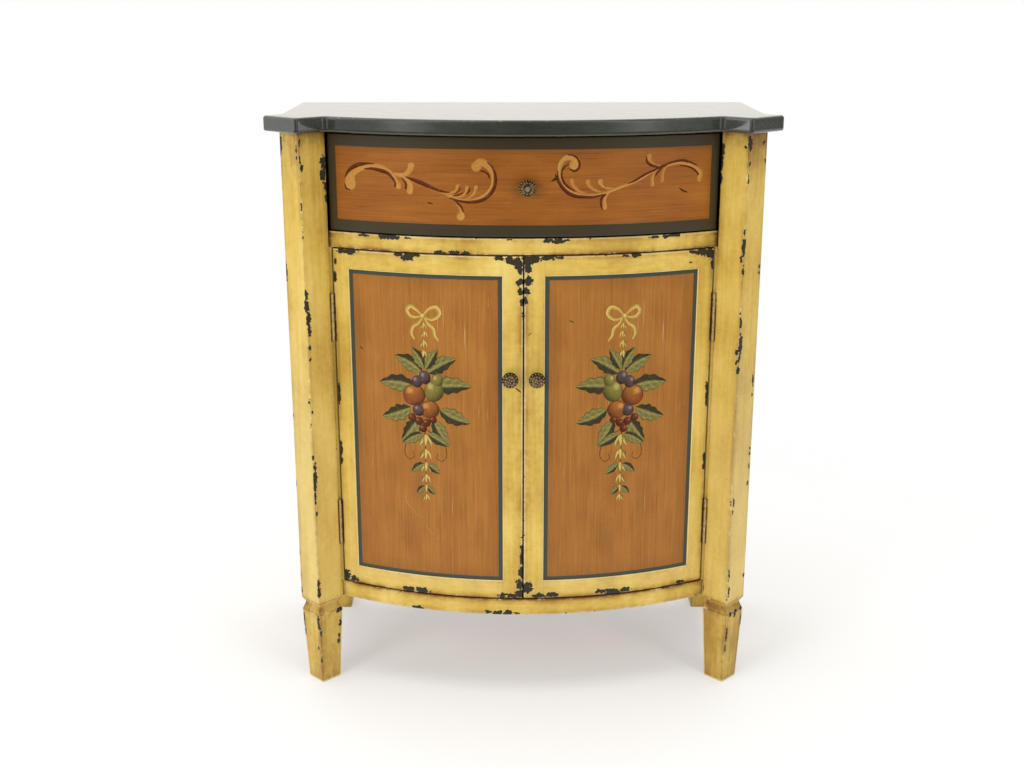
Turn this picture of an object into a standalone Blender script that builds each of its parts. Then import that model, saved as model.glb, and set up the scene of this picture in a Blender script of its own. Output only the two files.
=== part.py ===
# Demilune cabinet: a bowed drawer over a pair of bowed doors, between square posts set cornerwise.
# Metres, +Z up, front towards -Y, right-hand side towards +X, origin on the floor under the middle
# of the top.

import bmesh
import bpy
from math import asin, ceil, cos, hypot, pi, radians, sin, sqrt, tan
from mathutils import Matrix, Vector

# Whole cabinet
cabinet_height = 0.889
post_spacing = 0.637          # between the centres of the front posts
post_to_back = 0.291          # from the line of the posts to the back edge of the top
bow_crown = 0.065             # how far the bow stands in front of the line of the posts
bow_setback = 0.0073          # how far behind that line it meets the posts' inner corners

# Clearances
seat = 0.0003                 # between pieces that are glued or screwed together
overrun = 0.004               # how far a cutter passes the face that it cuts
hair = 0.000001               # for finding the points that lie on a given face
facet_length = 0.019          # of the straight lengths that a bow is made of
round_facet_angle = 30        # degrees, where a turned piece keeps a sharp edge

# Top
top_thickness = 0.022
crown_overhang = 0.033        # over the middle of the drawer
ear_overhang = 0.0170         # over the faces of a post
ear_face_width = 0.0508       # from the ear's front corner to the notch beside the bow
waist_to_post_centre = 0.0351 # across, where the side starts to sweep out to the ear
side_splay = 0.0094           # how much further out the back corners are than the waist
waist_to_posts = 0.0436       # from there to the line of the posts
top_upper_round = 0.0045
top_lower_round = 0.0032
ear_corner_radius = 0.0052
notch_radius = 0.0090
back_corner_radius = 0.0050
corner_steps = 4              # facets round a corner in plan
sweep_steps = 6               # facets along the hollow beside an ear

# Front legs: a post above, a neck, and a tapered foot
post_side = 0.0465
post_corner_radius = 0.0018
post_bottom = 0.1391
neck_top = 0.1315
neck_bottom = 0.1296
foot_top = 0.1202
foot_ease = 0.0022
neck_inset = 0.0065           # the neck, foot and toe are measured across the corners
foot_inset = 0.0006
toe_inset = 0.0076
toe_ease = 0.0009
toe_ease_height = 0.0018

# Carcass
apron_bottom = 0.1378
apron_height = 0.0257
apron_depth = 0.022
bottom_board_thickness = 0.015
side_thickness = 0.015
side_overhang = 0.017         # of the top over the side panels
rear_leg_side = 0.040
back_setback = 0.001          # of the rear legs from the back edge of the top
back_panel_thickness = 0.004
back_rebate_width = 0.008
back_rail_thickness = 0.018
back_top_rail_height = 0.040
drawer_opening_height = 0.1455
drawer_rail_height = 0.0235
drawer_rail_depth = 0.050
jamb_depth = 0.020
board_ease = 0.0010

# Shelf and its pins
shelf_thickness = 0.014
shelf_height_share = 0.487    # of the height between the bottom board and the drawer rail
shelf_setback = 0.060         # of the shelf's front edge from the face of the doors
shelf_play = 0.0012
pin_radius = 0.0025
pin_reach = 0.009
pin_depth = 0.008
pin_to_post = 0.085           # from the line of the posts to the front pins
pin_to_back = 0.075           # from the back of the legs to the rear pins
pin_facets = 12

# Drawer
drawer_gap = 0.0022           # above and below the drawer front
drawer_end_gap = 0.0015       # from the drawer front to a post
drawer_front_thickness = 0.018
drawer_side_inset = 0.0176    # of the drawer's sides from the posts' inner corners
drawer_board = 0.012
drawer_board_top_gap = 0.012
drawer_bottom_thickness = 0.004
drawer_bottom_height = 0.010  # from the lower edge of the sides to the groove
drawer_groove = 0.005
drawer_back_gap = 0.006       # from the drawer's back to the rear rail
guide_play = 0.0006
runner_ledge = 0.018
runner_thickness = 0.018
guide_width = 0.016
guide_height = 0.016

# Doors
door_gap = 0.0020             # above and below the doors
meeting_gap = 0.0020          # between the two doors
hinge_gap = 0.0025            # between a door and its jamb
door_thickness = 0.018
meeting_stile_width = 0.030
hinge_stile_width = 0.027
door_rail_width = 0.029
arris = 0.0012
panel_recess = 0.0018         # of the panel's face behind the frame's face
tongue_setback = 0.0055       # from the frame's face to the panel's tongue
tongue_thickness = 0.005
groove_depth = 0.008
panel_play = 0.0010           # at the bottom of the groove

# Hinges
knuckle_radius = 0.0028
pin_hole_radius = 0.0015
hinge_pin_radius = 0.00140
pin_tip_radius = 0.0021
pin_tip_height = 0.0012
pin_tip_share = 0.6           # of the tip's radius, at its end
leaf_thickness = 0.0012
leaf_gap = 0.0003             # between the two leaves of a closed hinge
leaf_depth = 0.014            # behind the face of the door
leaf_foot = 0.0008            # how far a leaf runs into its knuckle's wall
hinge_length = 0.072
upper_hinge_inset = 0.104     # from the top of the door to the hinge's middle
lower_hinge_inset = 0.100     # from the bottom of the door to the hinge's middle
knuckles = 5
knuckle_facets = 14

# Knobs and their screws
knob_radius = 0.0120
knob_neck_radius = 0.0046
knob_base_radius = 0.0080
knob_base_height = 0.0022
knob_neck_height = 0.0090
knob_rim_height = 0.0030
knob_dome_height = 0.0056
knob_boss_radius = 0.0030
knob_boss_height = 0.0014
knob_boss_share = 0.6         # of the boss's radius, at its end
knob_shoulder_share = 0.75    # of the knob's radius, where it leaves the neck
knob_dome_shares = (0.3, 0.6, 0.85)  # of a quarter turn
knob_facets = 20
drawer_knob_offset = 0.005    # to the right of the drawer's middle
door_knob_drop = 0.1797       # below the top of the door
door_knob_inset = 0.0191      # from the middle of the cabinet
screw_radius = 0.0019
screw_hole_radius = 0.0024
screw_reach = 0.0070          # into the knob
screw_head_radius = 0.0042
screw_head_height = 0.0022
screw_head_share = 0.7        # of the head's radius, at its end
screw_facets = 12

# Catches
catch_length = 0.038
catch_height = 0.0125
catch_depth = 0.015
catch_from_middle = 0.075
catch_slot_width = 0.026
catch_slot_depth = 0.0012
strike_length = 0.030
strike_height = 0.0105
strike_thickness = 0.0012
strike_lift = 0.0004          # of the flat strike off the hollow back of the door

# Places worked out from the sizes above
half_diagonal = post_side / sqrt(2)
post_x = post_spacing / 2
inner_corner_x = post_x - half_diagonal
bow_sagitta = bow_crown + bow_setback
bow_radius = (inner_corner_x**2 + bow_sagitta**2) / (2 * bow_sagitta)
crown_reach = bow_crown + crown_overhang
back_y = (post_to_back + crown_reach) / 2
post_y = back_y - post_to_back
bow_centre_y = post_y - bow_crown + bow_radius
top_underside = cabinet_height - top_thickness
carcass_top = top_underside - seat
apron_top = apron_bottom + apron_height
drawer_rail_top = top_underside - drawer_opening_height
drawer_rail_bottom = drawer_rail_top - drawer_rail_height
door_bottom = apron_top + door_gap
door_top = drawer_rail_bottom - door_gap
shelf_underside = apron_top + (drawer_rail_bottom - apron_top) * shelf_height_share
drawer_half_width = inner_corner_x - drawer_side_inset
waist_half_width = post_x + waist_to_post_centre
back_half_width = waist_half_width + side_splay
leg_back_y = back_y - back_setback
leg_front_y = leg_back_y - rear_leg_side
leg_outer_x = back_half_width - side_overhang
leg_inner_x = leg_outer_x - rear_leg_side
panel_front_y = leg_back_y - back_panel_thickness - seat
door_back_radius = bow_radius - door_thickness


def meets_post(radius, gap):
    """Where an arc about the bow's axis comes to within a gap of a post's rear inner face."""
    reach = inner_corner_x - gap * sqrt(2) - post_y + bow_centre_y
    return (reach - sqrt(2 * radius**2 - reach**2)) / 2


# The hinge pin stands in front of the doors' face by its knuckle, and the gap lies behind it.
hinge_reach = knuckle_radius + seat
hinge_axis_x = meets_post(bow_radius + hinge_reach, hinge_reach)
hinge_angle = asin(hinge_axis_x / (bow_radius + hinge_reach))
hinge_y = bow_centre_y - (bow_radius + hinge_reach) * cos(hinge_angle)
hinge_along = bow_radius * hinge_angle
door_outer = hinge_along - hinge_gap / 2
jamb_along = hinge_along + hinge_gap / 2
door_inner = meeting_gap / 2

# The side's outer face runs parallel to the edge of the top.
side_front = Vector((waist_half_width - side_overhang, post_y + waist_to_posts))
side_back = Vector((leg_outer_x, back_y))
side_line = (side_back - side_front).normalized()
side_inward = Vector((-side_line.y, side_line.x))


def clear_scene():
    for obj in list(bpy.data.objects):
        bpy.data.objects.remove(obj, do_unlink=True)


def colour_of(code):
    def linear(value):
        share = value / 255
        return share / 12.92 if share <= 0.04045 else ((share + 0.055) / 1.055) ** 2.4

    channels = [linear(int(code[i : i + 2], 16)) for i in (0, 2, 4)]
    return (*channels, 1)


# Finish: colour, roughness, metallic
finishes = {
    "cream_paint": ("d3b558", 0.48, 0),
    "dark_top_paint": ("42443d", 0.22, 0),
    "stained_wood": ("a8662b", 0.42, 0),
    "drawer_paint": ("a5652e", 0.40, 0),
    "carcass_board": ("9a6a3c", 0.60, 0),
    "drawer_board": ("c9a676", 0.65, 0),
    "plywood": ("b58e5c", 0.70, 0),
    "antique_brass": ("6b5632", 0.38, 1),
    "steel": ("a9a9a6", 0.35, 1),
    "catch_plastic": ("5b4027", 0.50, 0),
}


def finish_of(name, finish):
    code, roughness, metallic = finishes[finish]
    material = bpy.data.materials.new(f"{name}_{finish}")
    material.use_nodes = True
    shader = material.node_tree.nodes["Principled BSDF"]
    shader.inputs["Base Color"].default_value = colour_of(code)
    shader.inputs["Roughness"].default_value = roughness
    shader.inputs["Metallic"].default_value = metallic
    material.diffuse_color = colour_of(code)
    return material


def make_empty(name, place):
    empty = bpy.data.objects.new(name, None)
    empty.empty_display_size = post_side
    empty.location = place
    bpy.context.scene.collection.objects.link(empty)
    return empty


def make_object(name, shape, finish=None, parent=None, smooth=False):
    """The shape is in world coordinates. The object's origin goes to the middle of its underside."""
    shape.normal_update()
    bmesh.ops.recalc_face_normals(shape, faces=shape.faces)
    low = Vector([min(v.co[i] for v in shape.verts) for i in range(3)])
    high = Vector([max(v.co[i] for v in shape.verts) for i in range(3)])
    origin = Vector(((low.x + high.x) / 2, (low.y + high.y) / 2, low.z))
    shape.transform(Matrix.Translation(-origin))
    mesh = bpy.data.meshes.new(name)
    shape.to_mesh(mesh)
    shape.free()
    if smooth:
        mesh.shade_smooth()
        mesh.set_sharp_from_angle(angle=radians(round_facet_angle))
    obj = bpy.data.objects.new(name, mesh)
    bpy.context.scene.collection.objects.link(obj)
    obj.location = origin
    if parent:
        obj.parent = parent
        obj.location = origin - parent.location
    if finish:
        mesh.materials.append(finish_of(name, finish))
    return obj


def make_cutter(name, shape):
    cutter = make_object(name, shape)
    cutter.hide_render = True
    cutter.display_type = "WIRE"
    return cutter


def combine(obj, other, operation):
    modifier = obj.modifiers.new(other.name, "BOOLEAN")
    modifier.operation = operation
    modifier.solver = "EXACT"
    modifier.object = other


def loft(rings):
    """A closed solid through rings of points, each with the same number of points."""
    shape = bmesh.new()
    loops = [[shape.verts.new(point) for point in ring] for ring in rings]
    for lower, upper in zip(loops, loops[1:]):
        for i, corner in enumerate(lower):
            after = (i + 1) % len(lower)
            shape.faces.new((corner, lower[after], upper[after], upper[i]))
    shape.faces.new(reversed(loops[0]))
    shape.faces.new(loops[-1])
    return shape


def prism(outline, low, high):
    """An outline in plan, extruded from one height to another."""
    shape = bmesh.new()
    base = shape.faces.new([shape.verts.new((x, y, low)) for x, y in outline])
    raised = bmesh.ops.extrude_face_region(shape, geom=[base])["geom"]
    corners = [piece for piece in raised if isinstance(piece, bmesh.types.BMVert)]
    bmesh.ops.translate(shape, verts=corners, vec=(0, 0, high - low))
    return shape


def box(low, high):
    outline = [(low[0], low[1]), (high[0], low[1]), (high[0], high[1]), (low[0], high[1])]
    return prism(outline, low[2], high[2])


def turned(profile, facets, ring=False):
    """A profile of (radius, height) points spun about +Z. A ring's profile closes on itself."""
    shape = bmesh.new()
    points = [shape.verts.new((radius, 0, height)) for radius, height in profile]
    after = points[1:] + points[:1] if ring else points[1:]
    edges = [shape.edges.new(pair) for pair in zip(points, after)]
    around = {"axis": (0, 0, 1), "angle": 2 * pi, "steps": facets, "use_merge": True}
    bmesh.ops.spin(shape, geom=points + edges, **around)
    bmesh.ops.holes_fill(shape, edges=shape.edges)
    return shape


def on_side(outline, side):
    return [(side * x, y) for x, y in outline]


def moved(shape, matrix, side=1):
    """Places a shape made for the right-hand side, mirrored for the left."""
    shape.transform(matrix)
    if side < 0:
        shape.transform(Matrix.Scale(-1, 4, (1, 0, 0)))
    return shape


def crossing(start, along, other_start, other_along):
    """Where two lines in plan meet."""
    across = along.x * other_along.y - along.y * other_along.x
    apart = other_start - start
    reach = (apart.x * other_along.y - apart.y * other_along.x) / across
    return start + along * reach


def rounded(corners):
    """An outline from (x, y, radius, steps) corners, where a radius of 0 keeps the corner sharp."""
    points = []
    for i, (x, y, radius, steps) in enumerate(corners):
        here = Vector((x, y))
        if not radius:
            points.append(here)
            continue
        before = (Vector(corners[i - 1][:2]) - here).normalized()
        after = (Vector(corners[(i + 1) % len(corners)][:2]) - here).normalized()
        half = before.angle(after) / 2
        centre = here + (before + after).normalized() * radius / sin(half)
        start = here + before * radius / tan(half) - centre
        end = here + after * radius / tan(half) - centre
        sweep = start.angle_signed(end)
        for step in range(steps + 1):
            turn = -sweep * step / steps
            points.append(centre + Matrix.Rotation(turn, 2) @ start)
    return points


# The bow: places on it are given by a radius and the length along its outer face, from the middle.


def bow_point(radius, along):
    angle = along / bow_radius
    return (radius * sin(angle), bow_centre_y - radius * cos(angle))


def bow_y(radius, x):
    return bow_centre_y - sqrt(radius**2 - x**2)


def bow_steps(start, end):
    count = max(1, ceil(abs(end - start) / facet_length))
    return [start + (end - start) * i / count for i in range(count + 1)]


def bow_arc(radius, start, end):
    return [bow_point(radius, along) for along in bow_steps(start, end)]


def bow_arc_to_x(radius, x):
    """From -x to x."""
    end = bow_radius * asin(x / radius)
    return bow_arc(radius, -end, end)


def bow_block(inner, outer, start, end, low, high):
    """A rectangular section spun about the bow's axis."""
    shape = bmesh.new()
    section = [(inner, low), (outer, low), (outer, high), (inner, high)]
    points = [shape.verts.new((*bow_point(radius, start), z)) for radius, z in section]
    bmesh.ops.spin(
        shape,
        geom=[shape.faces.new(points)],
        cent=(0, bow_centre_y, 0),
        axis=(0, 0, 1),
        angle=(end - start) / bow_radius,
        steps=len(bow_steps(start, end)) - 1,
    )
    return shape


def ease_front(shape, ease, radius=bow_radius):
    """Rounds the edges round the outer face of a bowed piece."""
    shape.normal_update()
    on_face = {
        v for v in shape.verts if abs(hypot(v.co.x, v.co.y - bow_centre_y) - radius) < hair
    }
    edges = [
        e
        for e in shape.edges
        if set(e.verts) <= on_face and e.calc_face_angle() > radians(round_facet_angle)
    ]
    bmesh.ops.bevel(shape, geom=edges, offset=ease, segments=2, affect="EDGES")
    return shape


def bow_frame(radius, along, height):
    """A frame on the bow with its Z axis pointing straight out of the face."""
    angle = along / bow_radius
    x, y = bow_point(radius, along)
    out = Vector((sin(angle), -cos(angle), 0))
    up = Vector((0, 0, 1))
    across = up.cross(out)
    turn = Matrix((across, up, out)).transposed().to_4x4()
    return Matrix.Translation((x, y, height)) @ turn


def hinge_frame(height):
    """A frame on the right hinge's axis: X along the bow away from the door, Y into the cabinet."""
    turn = Matrix.Rotation(hinge_angle, 4, "Z")
    return Matrix.Translation((hinge_axis_x, hinge_y, height)) @ turn


def ease_rim(shape, height, ease, steps):
    """Rounds the edges round a flat face at a height."""
    shape.normal_update()
    edges = [
        e
        for e in shape.edges
        if all(abs(v.co.z - height) < hair for v in e.verts)
        and e.calc_face_angle() > radians(round_facet_angle)
    ]
    bmesh.ops.bevel(shape, geom=edges, offset=ease, segments=steps, affect="EDGES")


def sweep_arc(start, start_along, end, steps):
    """Points of the arc that leaves start in a given direction and ends at end, without start."""
    chord = end - start
    half = start_along.angle_signed(chord)
    radius = chord.length / (2 * sin(abs(half)))
    side = 1 if half < 0 else -1
    centre = start + Vector((-start_along.y, start_along.x)) * radius * side
    arm = start - centre
    return [centre + Matrix.Rotation(-2 * half * i / steps, 2) @ arm for i in range(1, steps + 1)]


def make_top():
    ear = half_diagonal + ear_overhang * sqrt(2)
    notch = Vector((post_x - ear_face_width / sqrt(2), post_y - ear + ear_face_width / sqrt(2)))
    sag = notch.y - (post_y - crown_reach)
    radius = (notch.x**2 + sag**2) / (2 * sag)
    centre_y = post_y - crown_reach + radius
    half_turn = asin(notch.x / radius)
    steps = ceil(half_turn * radius / facet_length)
    bow = [
        (radius * sin(half_turn * i / steps), centre_y - radius * cos(half_turn * i / steps), 0, 0)
        for i in range(steps)
    ]
    waist = Vector((waist_half_width, post_y + waist_to_posts))
    ear_corner = Vector((post_x + ear, post_y))
    side = (waist - Vector((back_half_width, back_y))).normalized()
    sweep = sweep_arc(waist, side, ear_corner, sweep_steps + 1)[:-1]
    right = (
        bow
        + [(notch.x, notch.y, notch_radius, corner_steps)]
        + [(post_x, post_y - ear, ear_corner_radius, corner_steps)]
        + [(ear_corner.x, ear_corner.y, ear_corner_radius, corner_steps)]
        + [(point.x, point.y, 0, 0) for point in reversed(sweep)]
        + [(waist.x, waist.y, 0, 0)]
        + [(back_half_width, back_y, back_corner_radius, corner_steps)]
    )
    left = [(-x, y, r, n) for x, y, r, n in reversed(right[1:])]
    shape = prism(rounded(right + left), top_underside, cabinet_height)
    ease_rim(shape, cabinet_height, top_upper_round, 3)
    ease_rim(shape, top_underside, top_lower_round, 2)
    make_object("top", shape, "dark_top_paint", smooth=True)


def make_front_leg(name, side):
    """A square stock set cornerwise, turned to a neck and tapered below it."""
    levels = (
        (0, toe_inset + toe_ease),
        (toe_ease_height, toe_inset),
        (foot_top - foot_ease, foot_inset),
        (foot_top, foot_inset + foot_ease / 2),
        (neck_bottom, neck_inset),
        (neck_top, neck_inset),
        (post_bottom, 0),
        (carcass_top, 0),
    )
    rings = []
    for height, inset in levels:
        reach = half_diagonal - inset
        radius = post_corner_radius * reach / half_diagonal
        corners = [(reach, 0), (0, reach), (-reach, 0), (0, -reach)]
        ring = rounded([(x, y, radius, 2) for x, y in corners])
        rings.append([(side * post_x + p.x, post_y + p.y, height) for p in ring])
    make_object(name, loft(rings), "cream_paint")


def make_rear_leg(name, side):
    inner, outer = sorted((side * leg_inner_x, side * leg_outer_x))
    shape = box((inner, leg_front_y, 0), (outer, leg_back_y, carcass_top))
    bmesh.ops.bevel(shape, geom=shape.edges[:], offset=board_ease, segments=1, affect="EDGES")
    leg = make_object(name, shape, "cream_paint")
    edge = side * (leg_inner_x + back_rebate_width + seat)
    start, end = sorted((side * (leg_inner_x - overrun), edge))
    rebate = box(
        (start, panel_front_y, apron_bottom - seat),
        (end, leg_back_y + overrun, carcass_top + overrun),
    )
    combine(leg, make_cutter(f"{name}_rebate", rebate), "DIFFERENCE")


def side_face(offset):
    """A point on a side face, offset into the cabinet from its outer face."""
    return side_front + side_inward * offset


def make_side_panel(name, side):
    facet = Vector((1, -1)).normalized()
    post_face = Vector((post_x + half_diagonal, post_y)) + Vector((1, 1)).normalized() * seat
    leg_face = Vector((0, leg_front_y - seat))
    across = Vector((1, 0))
    outline = [
        crossing(side_face(0), side_line, post_face, facet),
        crossing(side_face(0), side_line, leg_face, across),
        crossing(side_face(side_thickness), side_line, leg_face, across),
        crossing(side_face(side_thickness), side_line, post_face, facet),
    ]
    shape = prism(on_side(outline, side), apron_bottom, carcass_top)
    panel = make_object(name, shape, "cream_paint")
    for place in ("front", "rear"):
        hole = turned(
            [(pin_radius + seat, -pin_depth - seat), (pin_radius + seat, overrun)], pin_facets
        )
        moved(hole, pin_frame(place), side)
        combine(panel, make_cutter(f"{name}_{place}_hole", hole), "DIFFERENCE")


def pin_frame(place):
    """A frame on the right side's inner face, with Z into the cabinet."""
    y = post_y + pin_to_post if place == "front" else leg_back_y - pin_to_back
    point = crossing(side_face(side_thickness), side_line, Vector((0, y)), Vector((1, 0)))
    height = shelf_underside - pin_radius - seat
    out = Vector((side_inward.x, side_inward.y, 0))
    up = Vector((0, 0, 1))
    turn = Matrix((up.cross(out), up, out)).transposed().to_4x4()
    return Matrix.Translation((point.x, point.y, height)) @ turn


def make_shelf_pins():
    for word, side in (("left", -1), ("right", 1)):
        for place in ("front", "rear"):
            profile = [
                (pin_radius - seat, -pin_depth),
                (pin_radius, -pin_depth + seat),
                (pin_radius, pin_reach - seat),
                (pin_radius - seat, pin_reach),
            ]
            shape = moved(turned(profile, pin_facets), pin_frame(place), side)
            make_object(f"shelf_pin_{place}_{word}", shape, "steel", smooth=True)


def front_rail_outline(depth):
    """A bowed rail that runs from post to post and laps behind their inner faces."""
    lap_x = post_x - seat
    lap_y = post_y + half_diagonal + seat * (sqrt(2) - 1)
    front = bow_arc_to_x(bow_radius, meets_post(bow_radius, seat))
    back = bow_arc_to_x(bow_radius - depth, lap_x)
    return [(-lap_x, lap_y)] + front + [(lap_x, lap_y)] + back[::-1]


def make_front_rails():
    for name, depth, low, high in (
        ("apron", apron_depth, apron_bottom, apron_top),
        ("drawer_rail", drawer_rail_depth, drawer_rail_bottom, drawer_rail_top),
    ):
        shape = prism(front_rail_outline(depth), low, high)
        make_object(name, ease_front(shape, board_ease), "cream_paint")


def make_door_jamb(name, side):
    """The fillet behind a post's inner corner, which a door is hung on."""
    front = Vector(bow_point(bow_radius, jamb_along))
    back = Vector(bow_point(bow_radius - jamb_depth, jamb_along))
    face = inner_corner_x - seat * sqrt(2) - post_y
    outline = [front, Vector((face + front.y, front.y)), Vector((face + back.y, back.y)), back]
    shape = prism(on_side(outline, side), apron_top + seat, drawer_rail_bottom - seat)
    return make_object(name, shape, "cream_paint")


def board_outline(front_radius, play, clear_of_post):
    """A board between the sides, notched round the rear legs, with a bowed front edge."""
    inner = side_face(side_thickness + play)
    if clear_of_post:
        steps = bow_arc_to_x(front_radius, post_x - play)
        front = steps + [(post_x - play, post_y + half_diagonal + play)]
        front = [(-front[-1][0], front[-1][1])] + front
        facet = Vector((1, -1)).normalized()
        post_face = Vector((post_x + half_diagonal, post_y)) + Vector((1, 1)).normalized() * play
        corner = crossing(inner, side_line, post_face, facet)
        lap = Vector((post_x, post_y + half_diagonal + play * sqrt(2)))
        side_points = [lap, corner]
    else:
        reach = bow_end_on_side(front_radius, inner)
        front = bow_arc_to_x(front_radius, reach.x)
        side_points = []
    notch = crossing(inner, side_line, Vector((0, leg_front_y - play)), Vector((1, 0)))
    rear = [
        notch,
        Vector((leg_inner_x - play, leg_front_y - play)),
        Vector((leg_inner_x - play, panel_front_y - play)),
    ]
    right = side_points + rear
    left = [(-p[0], p[1]) for p in reversed(right)]
    return front + [(p[0], p[1]) for p in right] + left


def bow_end_on_side(radius, point):
    """Where a bowed edge meets a line that runs along the side."""
    centre = Vector((0, bow_centre_y))
    to_point = point - centre
    along = side_line.dot(to_point)
    across = sqrt(radius**2 - to_point.length_squared + along**2)
    return point - side_line * (along + across)


def make_boards():
    floor_front = bow_radius - apron_depth - seat
    outline = board_outline(floor_front, seat, True)
    shape = prism(outline, apron_top - bottom_board_thickness, apron_top)
    make_object("bottom_board", shape, "carcass_board")
    outline = board_outline(bow_radius - shelf_setback, shelf_play, False)
    shape = prism(outline, shelf_underside, shelf_underside + shelf_thickness)
    make_object("shelf", shape, "carcass_board")


def make_back():
    half = leg_inner_x + back_rebate_width
    shape = box((-half, panel_front_y + seat, apron_bottom), (half, leg_back_y, carcass_top))
    make_object("back_panel", shape, "plywood")
    half = leg_inner_x - seat
    for name, low, high in (
        ("back_top_rail", carcass_top - back_top_rail_height, carcass_top),
        ("back_middle_rail", drawer_rail_bottom, drawer_rail_top),
    ):
        shape = box(
            (-half, panel_front_y - back_rail_thickness, low), (half, panel_front_y, high)
        )
        make_object(name, shape, "carcass_board")


def make_runner(name, side):
    """A ledge that the drawer slides on, with a guide along its outer edge."""
    guide_inner = drawer_half_width + guide_play
    guide_outer = guide_inner + guide_width
    ledge_inner = guide_inner - runner_ledge
    under = drawer_rail_top - runner_thickness
    guide_top = drawer_rail_top + guide_height
    section = [
        (ledge_inner, under),
        (guide_outer, under),
        (guide_outer, guide_top),
        (guide_inner, guide_top),
        (guide_inner, drawer_rail_top),
        (ledge_inner, drawer_rail_top),
    ]
    rail_back = bow_radius - drawer_rail_depth - seat
    end_y = panel_front_y - back_rail_thickness - seat
    front = [(side * x, bow_y(rail_back, x), z) for x, z in section]
    back = [(side * x, end_y, z) for x, z in section]
    make_object(name, loft([front, back]), "drawer_board")


def make_drawer(parent):
    low = drawer_rail_top + drawer_gap
    high = top_underside - drawer_gap
    end = bow_radius * asin((inner_corner_x - drawer_end_gap) / bow_radius)
    inner = bow_radius - drawer_front_thickness
    shape = ease_front(bow_block(inner, bow_radius, -end, end, low, high), arris)
    front = make_object("drawer_front", shape, "drawer_paint", parent)

    rear_y = panel_front_y - back_rail_thickness - drawer_back_gap
    board_low = drawer_rail_top + seat
    board_high = top_underside - drawer_board_top_gap
    board_inner = drawer_half_width - drawer_board
    groove_low = board_low + drawer_bottom_height
    groove_high = groove_low + drawer_bottom_thickness + 2 * seat
    groove_x = board_inner + drawer_groove
    section = [
        (board_inner, board_low),
        (drawer_half_width, board_low),
        (drawer_half_width, board_high),
        (board_inner, board_high),
        (board_inner, groove_high),
        (groove_x, groove_high),
        (groove_x, groove_low),
        (board_inner, groove_low),
    ]
    for word, side in (("left", -1), ("right", 1)):
        near = [(side * x, bow_y(inner - seat, x), z) for x, z in section]
        far = [(side * x, rear_y, z) for x, z in section]
        make_object(f"drawer_side_{word}", loft([near, far]), "drawer_board", parent)

    half = board_inner - seat
    shape = box((-half, rear_y - drawer_board, groove_high), (half, rear_y, board_high))
    make_object("drawer_back", shape, "drawer_board", parent)
    half = groove_x - seat
    outline = bow_arc_to_x(inner - seat, half) + [(half, rear_y), (-half, rear_y)]
    shape = prism(outline, groove_low + seat, groove_high - seat)
    make_object("drawer_bottom", shape, "plywood", parent)

    make_knob("drawer", drawer_knob_offset, (low + high) / 2, drawer_front_thickness, front, parent)


def make_knob(name, along, height, thickness, board, parent, side=1):
    """A knob on the face of a board, the screw that holds it, and the hole for the screw."""
    frame = bow_frame(bow_radius + seat, along, height)
    bore = screw_radius + seat
    neck_end = knob_base_height + knob_neck_height
    rim_end = neck_end + knob_rim_height
    dome_end = rim_end + knob_dome_height
    profile = [
        (bore, screw_reach + seat),
        (bore, 0),
        (knob_base_radius, 0),
        (knob_base_radius, knob_base_height / 2),
        (knob_neck_radius, knob_base_height),
        (knob_neck_radius, (knob_base_height + neck_end) / 2),
        (knob_radius * knob_shoulder_share, neck_end),
        (knob_radius, neck_end + knob_rim_height / 2),
        (knob_radius, rim_end),
    ]
    for share in knob_dome_shares:
        angle = share * pi / 2
        profile.append((knob_radius * cos(angle), rim_end + knob_dome_height * sin(angle)))
    profile += [
        (knob_boss_radius, dome_end),
        (knob_boss_radius * knob_boss_share, dome_end + knob_boss_height),
    ]
    shape = moved(turned(profile, knob_facets), frame, side)
    make_object(f"{name}_knob", shape, "antique_brass", parent, smooth=True)

    back = -thickness - 2 * seat
    profile = [
        (screw_head_radius * screw_head_share, back - screw_head_height),
        (screw_head_radius, back - screw_head_height / 2),
        (screw_head_radius, back),
        (screw_radius, back),
        (screw_radius, screw_reach),
    ]
    shape = moved(turned(profile, screw_facets), frame, side)
    make_object(f"{name}_knob_screw", shape, "steel", parent, smooth=True)

    ends = (-thickness - overrun, overrun)
    hole = moved(turned([(screw_hole_radius, z) for z in ends], screw_facets), frame, side)
    combine(board, make_cutter(f"{name}_knob_hole", hole), "DIFFERENCE")


def stile_outline(panel_edge, far_edge):
    """A stile in plan, with the groove for the panel along one edge."""
    to_far = 1 if far_edge > panel_edge else -1
    groove = panel_edge + to_far * groove_depth
    near = bow_radius - tongue_setback + seat
    far = bow_radius - tongue_setback - tongue_thickness - seat
    return (
        bow_arc(bow_radius, panel_edge, far_edge)
        + bow_arc(door_back_radius, far_edge, panel_edge)
        + [bow_point(far, panel_edge), bow_point(far, groove)]
        + [bow_point(near, groove), bow_point(near, panel_edge)]
    )


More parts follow.
